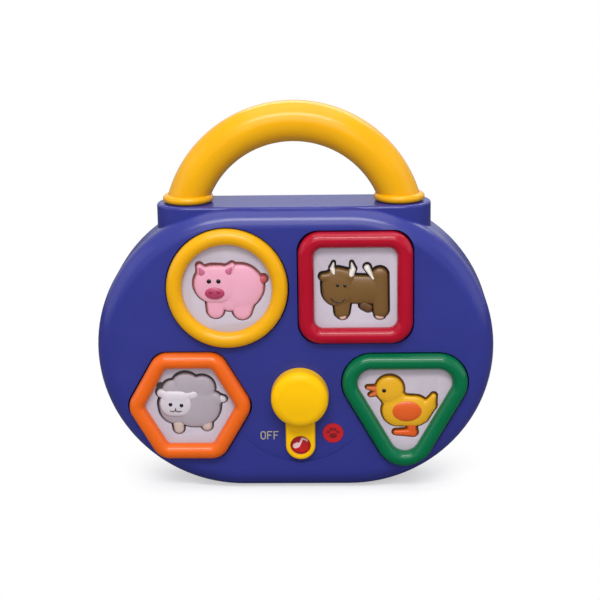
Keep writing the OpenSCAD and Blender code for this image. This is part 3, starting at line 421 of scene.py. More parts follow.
def roll_in(shape, window_radius, before, after):
    """Extrudes the selected face a step along the bead, whose window has rounder corners than its outside."""
    (x, z), corners, radius = shape
    side = 1.0
    if len(corners) > 1:
        (ax, az), (bx, bz) = corners[:2]
        side = abs(ax * bz - az * bx) / math.dist(corners[0], corners[1])
    push_out(BEAD_RADIUS * (math.sin(before) - math.sin(after)))
    ring = picked_points()

    def arc(angle):
        """Radius of the corner arcs, and how far out their centres lie, at this angle round the bead."""
        share = (1 - math.cos(angle)) / 2
        bend = radius + (window_radius - radius) * share
        return bend, (side + radius - BEAD_WIDTH * share - bend) / side

    old_bend, old_out = arc(before)
    bend, out = arc(after)
    for corner in corners:
        pick_points(own_points(ring, (x, z), corner, corners))
        centre = ((x + corner[0] * old_out) * MM, 0, (z + corner[1] * old_out) * MM)
        bpy.ops.transform.resize(value=(bend / old_bend, 1, bend / old_bend), center_override=centre)
        shift = (out - old_out) * MM
        bpy.ops.transform.translate(value=(corner[0] * shift, 0, corner[1] * shift))
    pick_points(ring)
    bpy.ops.mesh.select_mode(type="FACE")


def block_rim(name, shape, window_radius, finish):
    """Side wall with a half-round bead in front, open in the middle and behind."""
    piece = start_piece(name)
    if shape is HEXAGON:
        outline_face(shape, BLOCK_BACK, points=HEXAGON_POINTS)
    else:
        outline_face(shape, BLOCK_BACK)
    push_out(BEAD_BASE - BLOCK_BACK)
    for i in range(BEAD_STEPS):
        roll_in(shape, window_radius, math.pi * i / BEAD_STEPS, math.pi * (i + 1) / BEAD_STEPS)
    push_out(LEDGE - BEAD_BASE)
    bpy.ops.mesh.delete(type="FACE")
    pick_faces(lambda centre, normal: abs(centre.y - BLOCK_BACK) < 0.01)
    step_in(BLOCK_WALL, 0)
    push_out(LEDGE - BLOCK_BACK)
    bpy.ops.mesh.delete(type="FACE")
    pick_edges(lambda edge: edge.is_boundary)
    bpy.ops.mesh.bridge_edge_loops()
    turn_normals_out()
    smooth(piece, 50)
    paint(piece, finish)
    return piece


def lobe(centre, start, end, radius, end_radius, rise, level=FIGURE_ROOT):
    """A puffy bar with round ends: a sphere pressed flat, one half of it moved to the bar's end."""
    x = centre[0] + start[0]
    z = centre[1] + start[1]
    bpy.ops.mesh.primitive_uv_sphere_add(
        segments=40,
        ring_count=20,
        radius=radius * MM,
        location=(x * MM, level * MM, z * MM),
        rotation=(math.radians(90), 0, 0),
    )
    pivot = (x * MM, level * MM, z * MM)
    bpy.ops.transform.resize(value=(1, rise / radius, 1), center_override=pivot)
    run = Vector((end[0] - start[0], 0, end[1] - start[1]))
    if run.length > SHORTEST_RUN:
        pick_points([n for n, place in picked_points().items() if (place - Vector(pivot)).dot(run) > 1e-7])
        share = end_radius / radius
        bpy.ops.transform.resize(value=(share, 1, share), center_override=pivot)
        bpy.ops.transform.translate(value=run * MM)


def puffy(name, shape, rows, finish, voxel=0.32, softness=8, top=2.2):
    """Lobes grown together into one soft form, pressed nearly flat past a height above the plate."""
    piece = start_piece(name)
    for row in rows:
        lobe(shape[0], *row)
    apply_modifier(piece, "REMESH", mode="VOXEL", voxel_size=voxel * MM, use_smooth_shade=True)
    level = (PLATE_FRONT - top) * MM
    enter_piece(piece)
    bpy.ops.mesh.select_all(action="SELECT")
    pick_points([n for n, place in picked_points().items() if place.y < level])
    bpy.ops.transform.resize(value=(1, TOP_SQUEEZE, 1), center_override=(0, level, 0))
    apply_modifier(piece, "SMOOTH", factor=0.5, iterations=softness)
    paint(piece, finish)
    return piece


def front_of(piece, x, z):
    """How far forward a piece's surface lies at a place seen from the front."""
    found, place, normal, face = piece.ray_cast((x * MM, RAY_START, z * MM), (0, 1, 0))
    return place.y / MM if found else PLATE_FRONT


def spots(name, shape, carrier, rows, finish, wide=1.0):
    """Small details, each a lobe sunk a little into the surface that carries it, drawn out sideways."""
    leave_piece(carrier)
    bpy.context.view_layer.update()
    x, z = shape[0]
    levels = [front_of(carrier, x + row[0][0], z + row[0][1]) for row in rows]
    piece = start_piece(name)
    for (start, end, radius, end_radius, rise, sink), level in zip(rows, levels):
        lobe(shape[0], start, end, radius, end_radius, rise, level + sink)
        if wide != 1:
            pivot = ((x + start[0]) * MM, level * MM, (z + start[1]) * MM)
            bpy.ops.transform.resize(value=(wide, 1, 1), center_override=pivot)
    leave_piece(piece)
    bpy.ops.object.shade_smooth()
    paint(piece, finish)
    return piece


def backing_plate(name, shape, finish):
    """The plate that carries a figure, sunk to a groove round it; its finish is painted shade, darker than
    the figure it carries.
    """
    piece = start_piece(name)
    outline_face(shape, PLATE_BACK, inset=PLATE_INSET)
    push_out(GROOVE_FLOOR - PLATE_BACK)
    turn_normals_out()
    smooth(piece)
    paint(piece, finish)
    return piece


def block_panel(name, shape, rows, finish):
    """White plate with a window round the figure, a little wider above than below."""
    piece = start_piece(name)
    outline_face(shape, PANEL_BACK, inset=PANEL_INSET)
    push_out(PANEL_FRONT - PANEL_BACK)
    turn_normals_out()
    cutter = start_piece(name + "_cutter")
    for start, end, radius, end_radius, rise, *level in rows:
        bar_outline(shape[0], start, end, radius + WINDOW_GAP, end_radius + WINDOW_GAP)
        push_out(-CUT_LENGTH)
    turn_normals_out()
    leave_piece(cutter)
    apply_modifier(piece, "BOOLEAN", object=cutter, operation="DIFFERENCE", solver="EXACT", use_self=True)
    bpy.data.objects.remove(cutter)
    apply_modifier(
        piece,
        "BEVEL",
        width=WINDOW_EDGE * MM,
        segments=3,
        limit_method="ANGLE",
        angle_limit=math.radians(60),
    )
    smooth(piece, 35)
    paint(piece, finish)
    return piece


def bar_outline(centre, start, end, radius, end_radius):
    """A flat bar with round ends, behind the panel, to be pushed through it."""
    x = centre[0] + start[0]
    z = centre[1] + start[1] + WINDOW_LIFT
    pivot = (x * MM, CUT_START * MM, z * MM)
    bpy.ops.mesh.primitive_circle_add(
        vertices=72, radius=radius * MM, fill_type="NGON", location=pivot, rotation=(math.radians(90), 0, 0)
    )
    ring = picked_points()
    run = Vector((end[0] - start[0], 0, end[1] - start[1]))
    if run.length > SHORTEST_RUN:
        pick_points([n for n, place in ring.items() if (place - Vector(pivot)).dot(run) > 1e-7])
        share = end_radius / radius
        bpy.ops.transform.resize(value=(share, 1, share), center_override=pivot)
        bpy.ops.transform.translate(value=run * MM)
        pick_points(ring)
    bpy.ops.mesh.select_mode(type="FACE")


def figure(name, body, parts, slot, node):
    """Joins a figure's coloured parts and seats it behind its window."""
    piece = join_pieces(parts[0], parts[1:])
    piece.name = name
    seat(piece, body, slot, node)


# Figures: rows of start, end, radius at each, how far the lobe stands up, and from what level
HEAD = PLATE_FRONT - 0.9
SHEEP_HEAD = HEAD - 0.3
NECK = PLATE_FRONT - 0.5

pig_body = [
    ((7.6, 0.4), (7.6, 0.4), 14.0, 14.0, 5.4),
    ((9.8, 0.6), (9.8, 0.6), 12.2, 12.2, 5.4),
    ((1.5, -7.0), (1.5, -8.0), 7.0, 6.5, 3.6),
    ((-6.8, -4.0), (-7.1, -13.9), 6.4, 5.0, 3.2),
    ((10.4, -3.0), (8.8, -14.2), 8.6, 5.6, 3.2),
]
pig_head = [
    ((-8.2, 2.4), (-4.8, 2.4), 11.6, 11.6, 5.2, HEAD),
    ((-14.2, 9.8), (-16.0, 13.2), 4.4, 1.8, 3, HEAD),
    ((0.6, 9.8), (3.4, 13.6), 4.6, 1.8, 3, HEAD),
]
pig_tail = [((20.6, 4.6), (21.8, 5.2), 2.6, 2.3, 2.4)]
pig_rows = pig_body + pig_head + pig_tail

cow_body = [
    ((-1.0, -1.4), (10.2, -1.8), 8.6, 8.6, 5.4),
    ((14.4, 7.0), (14.9, -14.4), 4.8, 4.5, 5.4),
    ((-8.0, -8.0), (-8.2, -15.4), 5.4, 4.3, 4.2),
]
cow_head = [
    ((-10.6, 1.6), (-10.6, -2.2), 9.6, 9.4, 5.2, HEAD),
    ((-14.0, 6.0), (-19.2, 6.2), 3.4, 2.3, 4, HEAD),
    ((-10.0, 6.6), (-5.4, 6.0), 5.4, 4.8, 4.0, HEAD),
]
cow_horns = [
    ((-12.7, 8.6), (-13.7, 11.4), 1.9, 1.5, 2.6, HEAD),
    ((-13.7, 11.4), (-13.0, 14.6), 1.5, 0.6, 2.4, HEAD),
    ((-2.8, 7.8), (-1.5, 10.8), 2.2, 1.7, 2.8, HEAD),
    ((-1.5, 10.8), (-2.2, 14.6), 1.7, 0.6, 2.6, HEAD),
]
cow_tail = [((10.4, 5.5), (6.9, 11.8), 0.8, 1.9, 3.2, HEAD)]
cow_udder = [((5.2, -11.4), (7.4, -12.8), 3.0, 2.8, 2.3)]
cow_hooves = [
    ((-8.2, -17.6), (-7.4, -17.6), 2.5, 2.4, 2.8),
    ((13.8, -17.6), (15.0, -17.6), 2.4, 2.4, 2.8),
]
cow_rows = cow_body + cow_head + cow_horns + cow_tail + cow_udder + cow_hooves

sheep_body = [
    ((2.0, -0.6), (5.0, -0.6), 13.6, 13.6, 5.4),
    ((-8.6, 0.0), (-8.6, -2.0), 10.6, 10.2, 4.2),
    ((-10.4, 9.4), (-10.4, 9.4), 6.4, 6.4, 4.0),
    ((-2.4, 12.0), (-2.4, 12.0), 8.5, 8.5, 4.8),
    ((7.5, 10.5), (7.5, 10.5), 8.0, 8.0, 4.8),
    ((14.6, 3.0), (14.6, 3.0), 5.0, 5.0, 4.0),
]
sheep_tail = [((19.2, 3.6), (20.4, 3.4), 2.3, 1.9, 2.4)]
sheep_head = [
    ((-10.5, 1.0), (-6.6, 1.0), 8.1, 8.1, 5.0, SHEEP_HEAD),
    ((-12.4, 5.2), (-5.0, 5.0), 4.6, 4.6, 5, SHEEP_HEAD),
    ((-14.4, 6.8), (-17.4, 7.8), 2.6, 2.7, 3, SHEEP_HEAD),
    ((-2.4, 6.0), (2.6, 6.8), 2.5, 2.8, 3, SHEEP_HEAD),
]
sheep_feet = [
    ((-7.4, -12.4), (-7.2, -15.4), 3.4, 3.1, 2.4),
    ((9.8, -11.2), (10.0, -13.6), 3.5, 3.2, 2.4),
]
# Room in the sheep's window beside its ear, as the photo shows
sheep_room = [((-17.2, 9.6), (-17.4, 11.4), 2.0, 1.7, 1.0)]
sheep_rows = sheep_body + sheep_tail + sheep_head + sheep_feet + sheep_room

duck_body = [
    ((-4.0, -6.8), (5.8, -7.2), 9.9, 9.6, 5.4),
    ((9.2, -8.0), (14.8, -3.6), 7.2, 4.2, 4.6),
    ((14.8, -3.6), (17.4, 2.2), 4.2, 1.7, 4.6),
    ((-6.0, -0.4), (-8.0, 2.6), 7.2, 7.0, 4.2),
]
duck_head = [((-9.2, 6.7), (-9.2, 6.8), 8.6, 8.5, 5.0, NECK)]
duck_bill = [
    ((-16.4, 6.8), (-22.4, 7.8), 2.3, 0.9, 2.6),
    ((-16.4, 4.8), (-20.8, 3.0), 2.1, 0.9, 2.4),
]
duck_feet = [
    ((4.2, -16.2), (4.4, -19.0), 3.0, 2.8, 2.6),
    ((-5.6, -20.8), (5.2, -21.0), 1.5, 2.5, 2.6),
]
duck_rows = duck_body + duck_head + duck_bill + duck_feet


def dot(at, radius, rise=0.6, sink=0.1):
    """A row for a round spot."""
    return (at, at, radius, radius, rise, sink)


def pig_figure():
    shape = CIRCLE
    body = puffy("pig_body", shape, pig_body, pig_pink, softness=20)
    head = puffy("pig_head", shape, pig_head, pig_pink, top=3.0)
    muzzle = [dot((-7.2, -2.4), 3.7, rise=1.5, sink=0.2)]
    snout = spots("pig_snout", shape, head, muzzle, snout_pink, wide=1.6)
    nostrils = [dot((-9.5, -1.6), 1.1, rise=0.5), dot((-5.0, -1.6), 1.1, rise=0.5)]
    ears = [
        ((-14.6, 10.2), (-15.7, 12.6), 2.1, 0.7, 0.8, 0.2),
        ((1.3, 10.6), (2.9, 12.6), 2.1, 0.7, 0.8, 0.2),
    ]
    eyes = [dot((-10.4, 4.9), 1.4), dot((-4.8, 4.9), 1.4)]
    return [
        body,
        head,
        snout,
        puffy("pig_tail", shape, pig_tail, tail_red, voxel=0.24, softness=4),
        backing_plate("pig_plate", shape, pig_groove_painted_shade),
        spots("pig_nostrils", shape, snout, nostrils, nostril_pink),
        spots("pig_inner_ears", shape, head, ears, ear_pink),
        spots("pig_eyes", shape, head, eyes, eye_black),
    ]


def cow_figure():
    shape = SQUARE
    smile = [(-14.6, -6.2), (-13.0, -7.9), (-10.6, -8.8), (-8.2, -8.3), (-6.4, -6.8)]
    body = puffy("cow_body", shape, cow_body, cow_brown)
    head = puffy("cow_head", shape, cow_head, cow_brown, top=3.0)
    eyes = [dot((-10.7, 1.9), 1.0), dot((-6.4, 1.6), 1.0)]
    mouth = [(a, b, 0.42, 0.42, 0.4, 0.1) for a, b in zip(smile, smile[1:])]
    return [
        body,
        head,
        puffy("cow_horns", shape, cow_horns, horn_cream, voxel=0.22, softness=3, top=3.6),
        puffy("cow_tail", shape, cow_tail, horn_cream, voxel=0.22, softness=3, top=3.6),
        puffy("cow_udder", shape, cow_udder, udder_brown, voxel=0.26, softness=3),
        puffy("cow_hooves", shape, cow_hooves, hoof_pink, voxel=0.22, softness=3, top=2.6),
        backing_plate("cow_plate", shape, cow_groove_painted_shade),
        spots("cow_eyes", shape, head, eyes, eye_black),
        spots("cow_smile", shape, head, mouth, smile_brown),
    ]


def sheep_figure():
    shape = HEXAGON
    line = [(-12.0, -2.6), (-10.2, -3.2), (-8.6, -2.6), (-7.0, -3.3), (-5.2, -2.9)]
    body = puffy("sheep_body", shape, sheep_body, sheep_grey)
    head = puffy("sheep_head", shape, sheep_head, fleece_white, top=3.4)
    eyes = [dot((-11.6, 1.4), 1.2), dot((-5.0, 0.8), 1.2)]
    mouth = [(a, b, 0.32, 0.32, 0.4, 0.1) for a, b in zip(line, line[1:])]
    mouth.append(((-8.6, -2.6), (-8.6, -1.4), 0.34, 0.5, 0.4, 0.1))
    return [
        body,
        head,
        puffy("sheep_tail", shape, sheep_tail, fleece_white, voxel=0.24, softness=3),
        puffy("sheep_feet", shape, sheep_feet, foot_cream, voxel=0.26, softness=3),
        backing_plate("sheep_plate", shape, sheep_groove_painted_shade),
        spots("sheep_eyes", shape, head, eyes, eye_black),
        spots("sheep_mouth", shape, head, mouth, smile_brown),
    ]


def duck_figure():
    shape = TRIANGLE
    body = puffy("duck_body", shape, duck_body, duck_yellow)
    head = puffy("duck_head", shape, duck_head, duck_yellow, top=2.7)
    wing = [dot((1.2, -6.6), 6.4, rise=1.5, sink=0.6)]
    return [
        body,
        head,
        puffy("duck_bill", shape, duck_bill, bill_orange, voxel=0.24, softness=3),
        puffy("duck_feet", shape, duck_feet, duck_orange, voxel=0.26, softness=3),
        backing_plate("duck_plate", shape, duck_groove_painted_shade),
        spots("duck_wing", shape, body, wing, duck_orange, wide=1.45),
        spots("duck_eye", shape, head, [dot((-12.5, 6.8), 1.3)], eye_black),
    ]


blocks = [
    ("circle", CIRCLE, 26.85, yellow_gloss, "yellow", "pig", pig_rows, pig_figure, "pig_pink"),
    ("square", SQUARE, 5.5, red_gloss, "red", "cow", cow_rows, cow_figure, "cow_brown"),
    ("hexagon", HEXAGON, 3.6, orange_gloss, "orange", "sheep", sheep_rows, sheep_figure, "sheep_grey"),
    ("triangle", TRIANGLE, 8.6, green_gloss, "green", "duck", duck_rows, duck_figure, "duck_yellow"),
]
for block, shape, window_radius, rim_finish, colour, animal, rows, make_figure, figure_slot in blocks:
    body = block + "_block"
    rim = block_rim(block + "_bead", shape, window_radius, rim_finish)
    seat(rim, body, colour + "_plastic", block + "_rim")
    panel = block_panel(block + "_window", shape, rows, panel_white)
    seat(panel, body, "panel_white", block + "_panel")
    figure(animal + "_figure", body, make_figure(), figure_slot, animal + "_relief")


# Mode lever: knob, tongue and the marks under it
PIVOT = middle("lever_screw")
PIVOT_X, PIVOT_Z = PIVOT
MARK_REACH = PIVOT_Z - middle("note_badge")[1]
LEVER_BACK = BODY_FRONT - 0.5
KNOB_RADIUS = 17.5
KNOB_FOOT = 0.5
KNOB_SIDE = 6.6
KNOB_DRAFT = 0.25
SHOULDER_WIDTH = 6.4
SHOULDER_HEIGHT = 4.7
KNOB_CROWN = [(2.5, 0.36), (2.5, 0.2), (2.5, 0.1)]
TONGUE_RADIUS = 9
TONGUE_SIDE = 1.2
TONGUE_EDGE = 1.7
TONGUE_FRONT = LEVER_BACK - TONGUE_SIDE - TONGUE_EDGE
LEVER_WINDOW = 6.2
WINDOW_LIP = 0.5
SHAFT_RADIUS = 4
SHAFT_EDGE = 0.3
SHAFT_OVERLAP = 0.5


def round_edge(radius, height, steps):
    """Rolls the selected face's edge over through a quarter of an ellipse."""
    for i in range(steps):
        before = math.pi / 2 * i / steps
        after = math.pi / 2 * (i + 1) / steps
        sideways = radius * (math.cos(before) - math.cos(after))
        step_in(sideways, height * (math.sin(after) - math.sin(before)))


def lever_knob():
    """A tall knob with a soft shoulder and a slightly domed top."""
    piece = start_piece("mode_knob")
    outline_face((PIVOT, MIDDLE_ONLY, KNOB_RADIUS), LEVER_BACK)
    push_out(-KNOB_FOOT)
    step_in(KNOB_DRAFT, KNOB_SIDE)
    round_edge(SHOULDER_WIDTH, SHOULDER_HEIGHT, 16)
    for sideways, forwards in KNOB_CROWN:
        step_in(sideways, forwards)
    turn_normals_out()
    return piece


def lever_tongue():
    """A flat tongue with round edges, and a round window over the mark."""
    piece = start_piece("mode_tongue")
    outline_face((PIVOT, [(0, 0), (0, -MARK_REACH)], TONGUE_RADIUS), LEVER_BACK)
    push_out(-TONGUE_SIDE)
    round_edge(TONGUE_EDGE, TONGUE_EDGE, 8)
    turn_normals_out()
    cutter = start_piece("window_cutter")
    outline_face(((PIVOT_X, PIVOT_Z - MARK_REACH), MIDDLE_ONLY, LEVER_WINDOW), LEVER_BACK + 2, points=96)
    push_out(-8)
    turn_normals_out()
    leave_piece(cutter)
    apply_modifier(piece, "BOOLEAN", object=cutter, operation="DIFFERENCE", solver="EXACT")
    bpy.data.objects.remove(cutter)
    enter_piece(piece)

    def window_lip(edge):
        ends = [v.co / MM for v in edge.verts]
        reach = [math.hypot(p.x - PIVOT_X, p.z - PIVOT_Z + MARK_REACH) for p in ends]
        on_window = all(abs(r - LEVER_WINDOW) < 0.05 for r in reach)
        return on_window and all(p.y < TONGUE_FRONT + 0.2 for p in ends)

    pick_edges(window_lip)
    bpy.ops.mesh.bevel(offset=WINDOW_LIP * MM, segments=4, affect="EDGES")
    leave_piece(piece)
    return piece


def lever_shaft():
    """The round shaft behind the knob."""
    piece = start_piece("mode_shaft")
    shaft_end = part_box("mode_lever")[1].y / MM
    outline_face((PIVOT, MIDDLE_ONLY, SHAFT_RADIUS), shaft_end, points=64)
    step_in(SHAFT_EDGE, 0)
    push_out(-SHAFT_EDGE)
    push_out(LEVER_BACK + SHAFT_OVERLAP - shaft_end)
    turn_normals_out()
    return piece


lever = join_pieces(lever_knob(), [lever_tongue(), lever_shaft()])
lever.name = "lever_arm"
smooth(lever, 40)
paint(lever, lever_yellow)
seat(lever, "lever", "yellow_plastic", "mode_lever")


# The marks lie on the floor of the dish, which slopes in from just below the knob
DISH_DEPTH = 1.2
DISH_RUN = 19.8
DISH_SLOPE = math.atan(DISH_DEPTH / DISH_RUN)
DISH_START = PIVOT_Z - 23
PRINT_HEIGHT = 0.1
PRINT_STEP = 0.008
BADGE_RISE = 0.2
STROKE = 0.3
LETTER_WIDTH = 2.6
LETTER_HEIGHT = 4.8
LETTER_CUT = 0.8
WORD_AT = (-21.2, 32.6)


def dish_mark(name, at, rows, finish, sink=0.0):
    """A printed mark: flat bars with round ends, as start, end and half width from the mark's own place."""
    piece = start_piece(name)
    for i, (start, end, half) in enumerate(rows):
        run = (end[0] - start[0], end[1] - start[1])
        corners = [(0, 0), run] if math.hypot(*run) > SHORTEST_RUN else MIDDLE_ONLY
        outline_face((start, corners, half), 0, points=24)
        push_out(-PRINT_HEIGHT - PRINT_STEP * i)
    turn_normals_out()
    depth = (DISH_START - at[1]) * math.tan(DISH_SLOPE) + sink
    bpy.ops.mesh.select_all(action="SELECT")
    bpy.ops.transform.rotate(value=-DISH_SLOPE, orient_axis="X", center_override=(0, 0, 0))
    bpy.ops.transform.translate(value=(at[0] * MM, (BODY_FRONT + depth) * MM, at[1] * MM))
    leave_piece(piece)
    paint(piece, finish)
    return piece


note = dish_mark(
    "note_mark",
    middle("note_badge"),
    [
        ((-3.2, -1.3), (-2.0, -0.8), 1.7),
        ((-0.7, -0.6), (0.9, 3.4), 0.62),
        ((0.9, 3.4), (3.6, 2.6), 0.62),
        ((3.6, 2.6), (3.9, 1.9), 0.5),
    ],
    note_white,
    sink=BADGE_RISE,
)
seat(note, "housing", "white_plastic")
paw = dish_mark(
    "paw_mark",
    middle("sound_badge"),
    [
        ((-0.8, -1.7), (0.8, -1.7), 1.5),
        ((-3.0, 0.5), (-2.8, 0.9), 0.8),
        ((-1.1, 2.1), (-1.0, 2.6), 0.85),
        ((1.1, 2.1), (1.0, 2.6), 0.85),
        ((3.0, 0.5), (2.8, 0.9), 0.8),
    ],
    mark_red,
    sink=BADGE_RISE,
)
seat(paw, "housing", "badge_red")

letter_o = [
    (0, LETTER_CUT),
    (0, LETTER_HEIGHT - LETTER_CUT),
    (LETTER_CUT, LETTER_HEIGHT),
    (LETTER_WIDTH - LETTER_CUT, LETTER_HEIGHT),
    (LETTER_WIDTH, LETTER_HEIGHT - LETTER_CUT),
    (LETTER_WIDTH, LETTER_CUT),
    (LETTER_WIDTH - LETTER_CUT, 0),
    (LETTER_CUT, 0),
    (0, LETTER_CUT),
]
letter_f = [
    ((0, 0), (0, LETTER_HEIGHT)),
    ((0, LETTER_HEIGHT), (LETTER_WIDTH, LETTER_HEIGHT)),
    ((0, 2.5), (2, 2.5)),
]
letters = [(a, b, STROKE) for a, b in zip(letter_o, letter_o[1:])]
for across in (4, 7.9):
    letters += [((a[0] + across, a[1]), (b[0] + across, b[1]), STROKE) for a, b in letter_f]
word = dish_mark("off_word", WORD_AT, letters, off_cream)
seat(word, "housing", "white_plastic")


# Rubber domes under the keys, built in their rest shape; in the toy they give way as a key is pressed
DOME_RADIUS = 9
DOME_FOOT = 0.55
DOME_FOOT_EDGE = 0.25
DOME_LEDGE = 1.55
DOME_SKIRT = 3.2
DOME_CAP_EDGE = 0.35
DOME_SOLE = 2.8
DOME_HOLLOW = 3.0
DOME_SKIN = 1.6
SKIRT_STEPS = 12
HOLLOW_STEPS = 6


def key_dome(name, node):
    """A foot ring, a skirt that swings up to the cap, and a hollow behind."""
    low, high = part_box(node)
    foot = high.y / MM
    rise = (high.y - low.y) / MM
    skirt_rise = rise - DOME_FOOT - DOME_FOOT_EDGE - DOME_CAP_EDGE
    piece = start_piece(name)
    outline_face((middle(node), MIDDLE_ONLY, DOME_RADIUS), foot, points=72)
    push_out(-DOME_FOOT)
    round_edge(DOME_FOOT_EDGE, DOME_FOOT_EDGE, 4)
    step_in(DOME_LEDGE, 0)
    for i in range(SKIRT_STEPS):
        swing = [0.5 - 0.5 * math.cos(math.pi * (i + j) / SKIRT_STEPS) for j in (0, 1)]
        step_in(DOME_SKIRT / SKIRT_STEPS, skirt_rise * (swing[1] - swing[0]))
    round_edge(DOME_CAP_EDGE, DOME_CAP_EDGE, 4)
    pick_faces(lambda centre, normal: abs(centre.y - foot) < 0.01)
    step_in(DOME_SOLE, 0)
    for i in range(HOLLOW_STEPS):
        step_in(DOME_HOLLOW / HOLLOW_STEPS, -(rise - DOME_SKIN) / HOLLOW_STEPS)
    turn_normals_out()
    smooth(piece, 40)
    paint(piece, dome_rubber)
    return piece


block_names = [row[0] for row in blocks]
for block in block_names:
    dome = key_dome(block + "_cup", block + "_dome")
    seat(dome, "housing", "dome_rubber", block + "_dome")
    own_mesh(dome)


# Finishes of the pieces that keep their packed form
finishes = {
    "front_shell": blue_shell,
    "rear_shell": blue_shell,
    "pocket_floor": blue_shell,
    "battery_door": blue_shell,
    "handle": yellow_gloss,
    "circle_base": yellow_gloss,
    "square_base": red_gloss,
    "hexagon_base": orange_gloss,
    "triangle_base": green_gloss,
    "switch_rotor": white_plastic,
    "switch_wiper": bronze,
    "detent_spring": steel,
    "note_badge": badge_red,
    "sound_badge": badge_red,
    "main_board": board_green,
    "sound_chip": black_resin,
    "capacitor": black_resin,
    "speaker_frame": black_resin,
    "speaker_magnet": steel,
    "speaker_cone": cone_paper,
    "aa_cells": cell_wrap,
    "cell_springs": steel,
    "cell_plates": steel,
    "battery_leads": wire_red,
    "speaker_leads": wire_black,
}
for block in block_names:
    finishes[block + "_plunger"] = white_plastic
    finishes[block + "_dome"] = dome_rubber
for name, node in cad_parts.items():
    paint(node, finishes.get(name, steel))


# Stage: a white floor, soft lamps and the camera

def floor_finish():
    """White to the camera away from the toy, with its soft shadow kept, and dull in the toy's own gloss."""
    finish = bpy.data.materials.new("floor_white")
    finish.use_nodes = True
    tree = finish.node_tree
    tree.nodes.clear()
    place = tree.nodes.new("ShaderNodeTexCoord")
    oval = tree.nodes.new("ShaderNodeVectorMath")
    oval.operation = "MULTIPLY"
    oval.inputs[1].default_value = (1, 1.6, 1)
    reach = tree.nodes.new("ShaderNodeVectorMath")
    reach.operation = "LENGTH"
    share = tree.nodes.new("ShaderNodeMapRange")
    share.interpolation_type = "SMOOTHSTEP"
    share.inputs["From Min"].default_value = 0.05
    share.inputs["From Max"].default_value = 0.15
    share.inputs["To Min"].default_value = 0.5
    share.inputs["To Max"].default_value = 1
    glow = tree.nodes.new("ShaderNodeEmission")
    glow.inputs["Color"].default_value = (1, 1, 1, 1)
    lit = tree.nodes.new("ShaderNodeBsdfDiffuse")
    lit.inputs["Color"].default_value = (0.9, 0.9, 0.9, 1)
    shown = tree.nodes.new("ShaderNodeMixShader")
    matt = tree.nodes.new("ShaderNodeBsdfDiffuse")
    matt.inputs["Color"].default_value = (0.45, 0.45, 0.45, 1)
    dull = tree.nodes.new("ShaderNodeBsdfDiffuse")
    dull.inputs["Color"].default_value = (0.12, 0.12, 0.12, 1)
    mirrored = tree.nodes.new("ShaderNodeMixShader")
    seen = tree.nodes.new("ShaderNodeLightPath")
    blend = tree.nodes.new("ShaderNodeMixShader")
    out = tree.nodes.new("ShaderNodeOutputMaterial")
    tree.links.new(place.outputs["Object"], oval.inputs[0])
    tree.links.new(oval.outputs["Vector"], reach.inputs[0])
    tree.links.new(reach.outputs["Value"], share.inputs["Value"])
    tree.links.new(share.outputs["Result"], shown.inputs["Fac"])
    tree.links.new(lit.outputs["BSDF"], shown.inputs[1])
    tree.links.new(glow.outputs["Emission"], shown.inputs[2])
    tree.links.new(seen.outputs["Is Camera Ray"], blend.inputs["Fac"])
    tree.links.new(seen.outputs["Is Glossy Ray"], mirrored.inputs["Fac"])
    tree.links.new(matt.outputs["BSDF"], mirrored.inputs[1])
    tree.links.new(dull.outputs["BSDF"], mirrored.inputs[2])
    tree.links.new(mirrored.outputs["Shader"], blend.inputs[1])
    tree.links.new(shown.outputs["Shader"], blend.inputs[2])
    tree.links.new(blend.outputs["Shader"], out.inputs["Surface"])
    return finish


if bpy.context.mode != "OBJECT":
    bpy.ops.object.mode_set(mode="OBJECT")
bpy.ops.object.select_all(action="DESELECT")
bpy.ops.mesh.primitive_plane_add(size=12, location=(0, 0, -0.0005))
floor = bpy.context.object
floor.name = "floor"
floor.data.materials.append(floor_finish())


def lamp(name, place, aim, width, height, watts, colour=(1, 1, 1)):
    """A soft box of this size in metres, aimed at a point."""
    light = bpy.data.lights.new(name, "AREA")
    light.shape = "RECTANGLE"
    light.size = width
    light.size_y = height
    light.energy = watts
    light.color = colour
    holder = bpy.data.objects.new(name, light)
    bpy.context.scene.collection.objects.link(holder)
    holder.location = place
    holder.rotation_euler = (Vector(aim) - Vector(place)).to_track_quat("-Z", "Y").to_euler()


COOL = (0.91, 0.91, 1)
lamp("main_box", (-0.04, -0.9, 1.17), (0, 0, 0.1), 1.0, 0.32, 14.4)
lamp("front_box", (0, -1.25, 0.75), (0, 0, 0.1), 0.9, 0.5, 4.5)
lamp("top_box", (0, -0.1, 1.5), (0, 0, 0.1), 1.4, 1.2, 10)
lamp("rear_box", (0.2, 1.0, 1.15), (0, 0, 0.12), 1.6, 0.6, 10)
lamp("left_box", (-1.1, -0.3, 0.4), (0, 0, 0.1), 0.9, 0.9, 1.8, COOL)
lamp("right_box", (1.1, -0.3, 0.4), (0, 0, 0.1), 0.9, 0.9, 1.8, COOL)

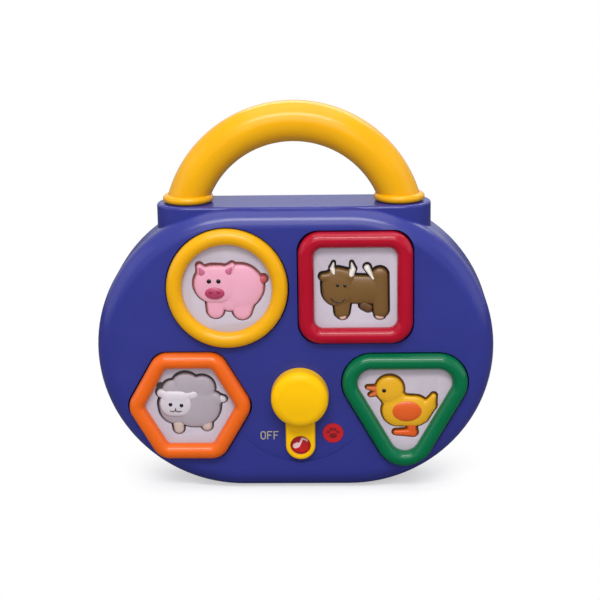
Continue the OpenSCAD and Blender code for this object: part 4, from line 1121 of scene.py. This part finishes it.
world = bpy.data.worlds.new("studio")
bpy.context.scene.world = world
world.use_nodes = True
world.cycles.sampling_method = "NONE"
sky = world.node_tree
sky.nodes.clear()
ray = sky.nodes.new("ShaderNodeLightPath")
mirrored = sky.nodes.new("ShaderNodeMath")
mirrored.operation = "MULTIPLY_ADD"
mirrored.inputs[1].default_value = 0.5
mirrored.inputs[2].default_value = 0.3
direct = sky.nodes.new("ShaderNodeMath")
direct.operation = "MAXIMUM"
strength = sky.nodes.new("ShaderNodeMath")
strength.operation = "MAXIMUM"
backdrop = sky.nodes.new("ShaderNodeBackground")
shades = sky.nodes.new("ShaderNodeMix")
shades.data_type = "RGBA"
shades.inputs["A"].default_value = (*COOL, 1)
shades.inputs["B"].default_value = (1, 1, 1, 1)
out = sky.nodes.new("ShaderNodeOutputWorld")
sky.links.new(ray.outputs["Is Glossy Ray"], mirrored.inputs[0])
sky.links.new(ray.outputs["Is Camera Ray"], direct.inputs[0])
sky.links.new(ray.outputs["Is Transmission Ray"], direct.inputs[1])
sky.links.new(mirrored.outputs["Value"], strength.inputs[0])
sky.links.new(direct.outputs["Value"], strength.inputs[1])
sky.links.new(direct.outputs["Value"], shades.inputs["Factor"])
sky.links.new(shades.outputs["Result"], backdrop.inputs["Color"])
sky.links.new(strength.outputs["Value"], backdrop.inputs["Strength"])
sky.links.new(backdrop.outputs["Background"], out.inputs["Surface"])

# The camera stands a little to the right of the middle, 15 degrees above the level of the toy.
azimuth = math.radians(1.985)
elevation = math.radians(15)
roll = math.radians(-0.93)
distance = 0.9782
target = Vector((0, 0.0065, 0.113))
back = Vector(
    (math.sin(azimuth) * math.cos(elevation), -math.cos(azimuth) * math.cos(elevation), math.sin(elevation))
)
lens = bpy.data.cameras.new("camera")
lens.lens = 95.8
lens.sensor_width = 36
lens.shift_x = 0.008
camera = bpy.data.objects.new("camera", lens)
bpy.context.scene.collection.objects.link(camera)
camera.location = target + back * distance
camera.rotation_euler = (-back).to_track_quat("-Z", "Y").to_euler()
camera.rotation_euler.rotate_axis("Z", roll)
bpy.context.scene.camera = camera
bpy.context.scene.view_settings.view_transform = "Standard"
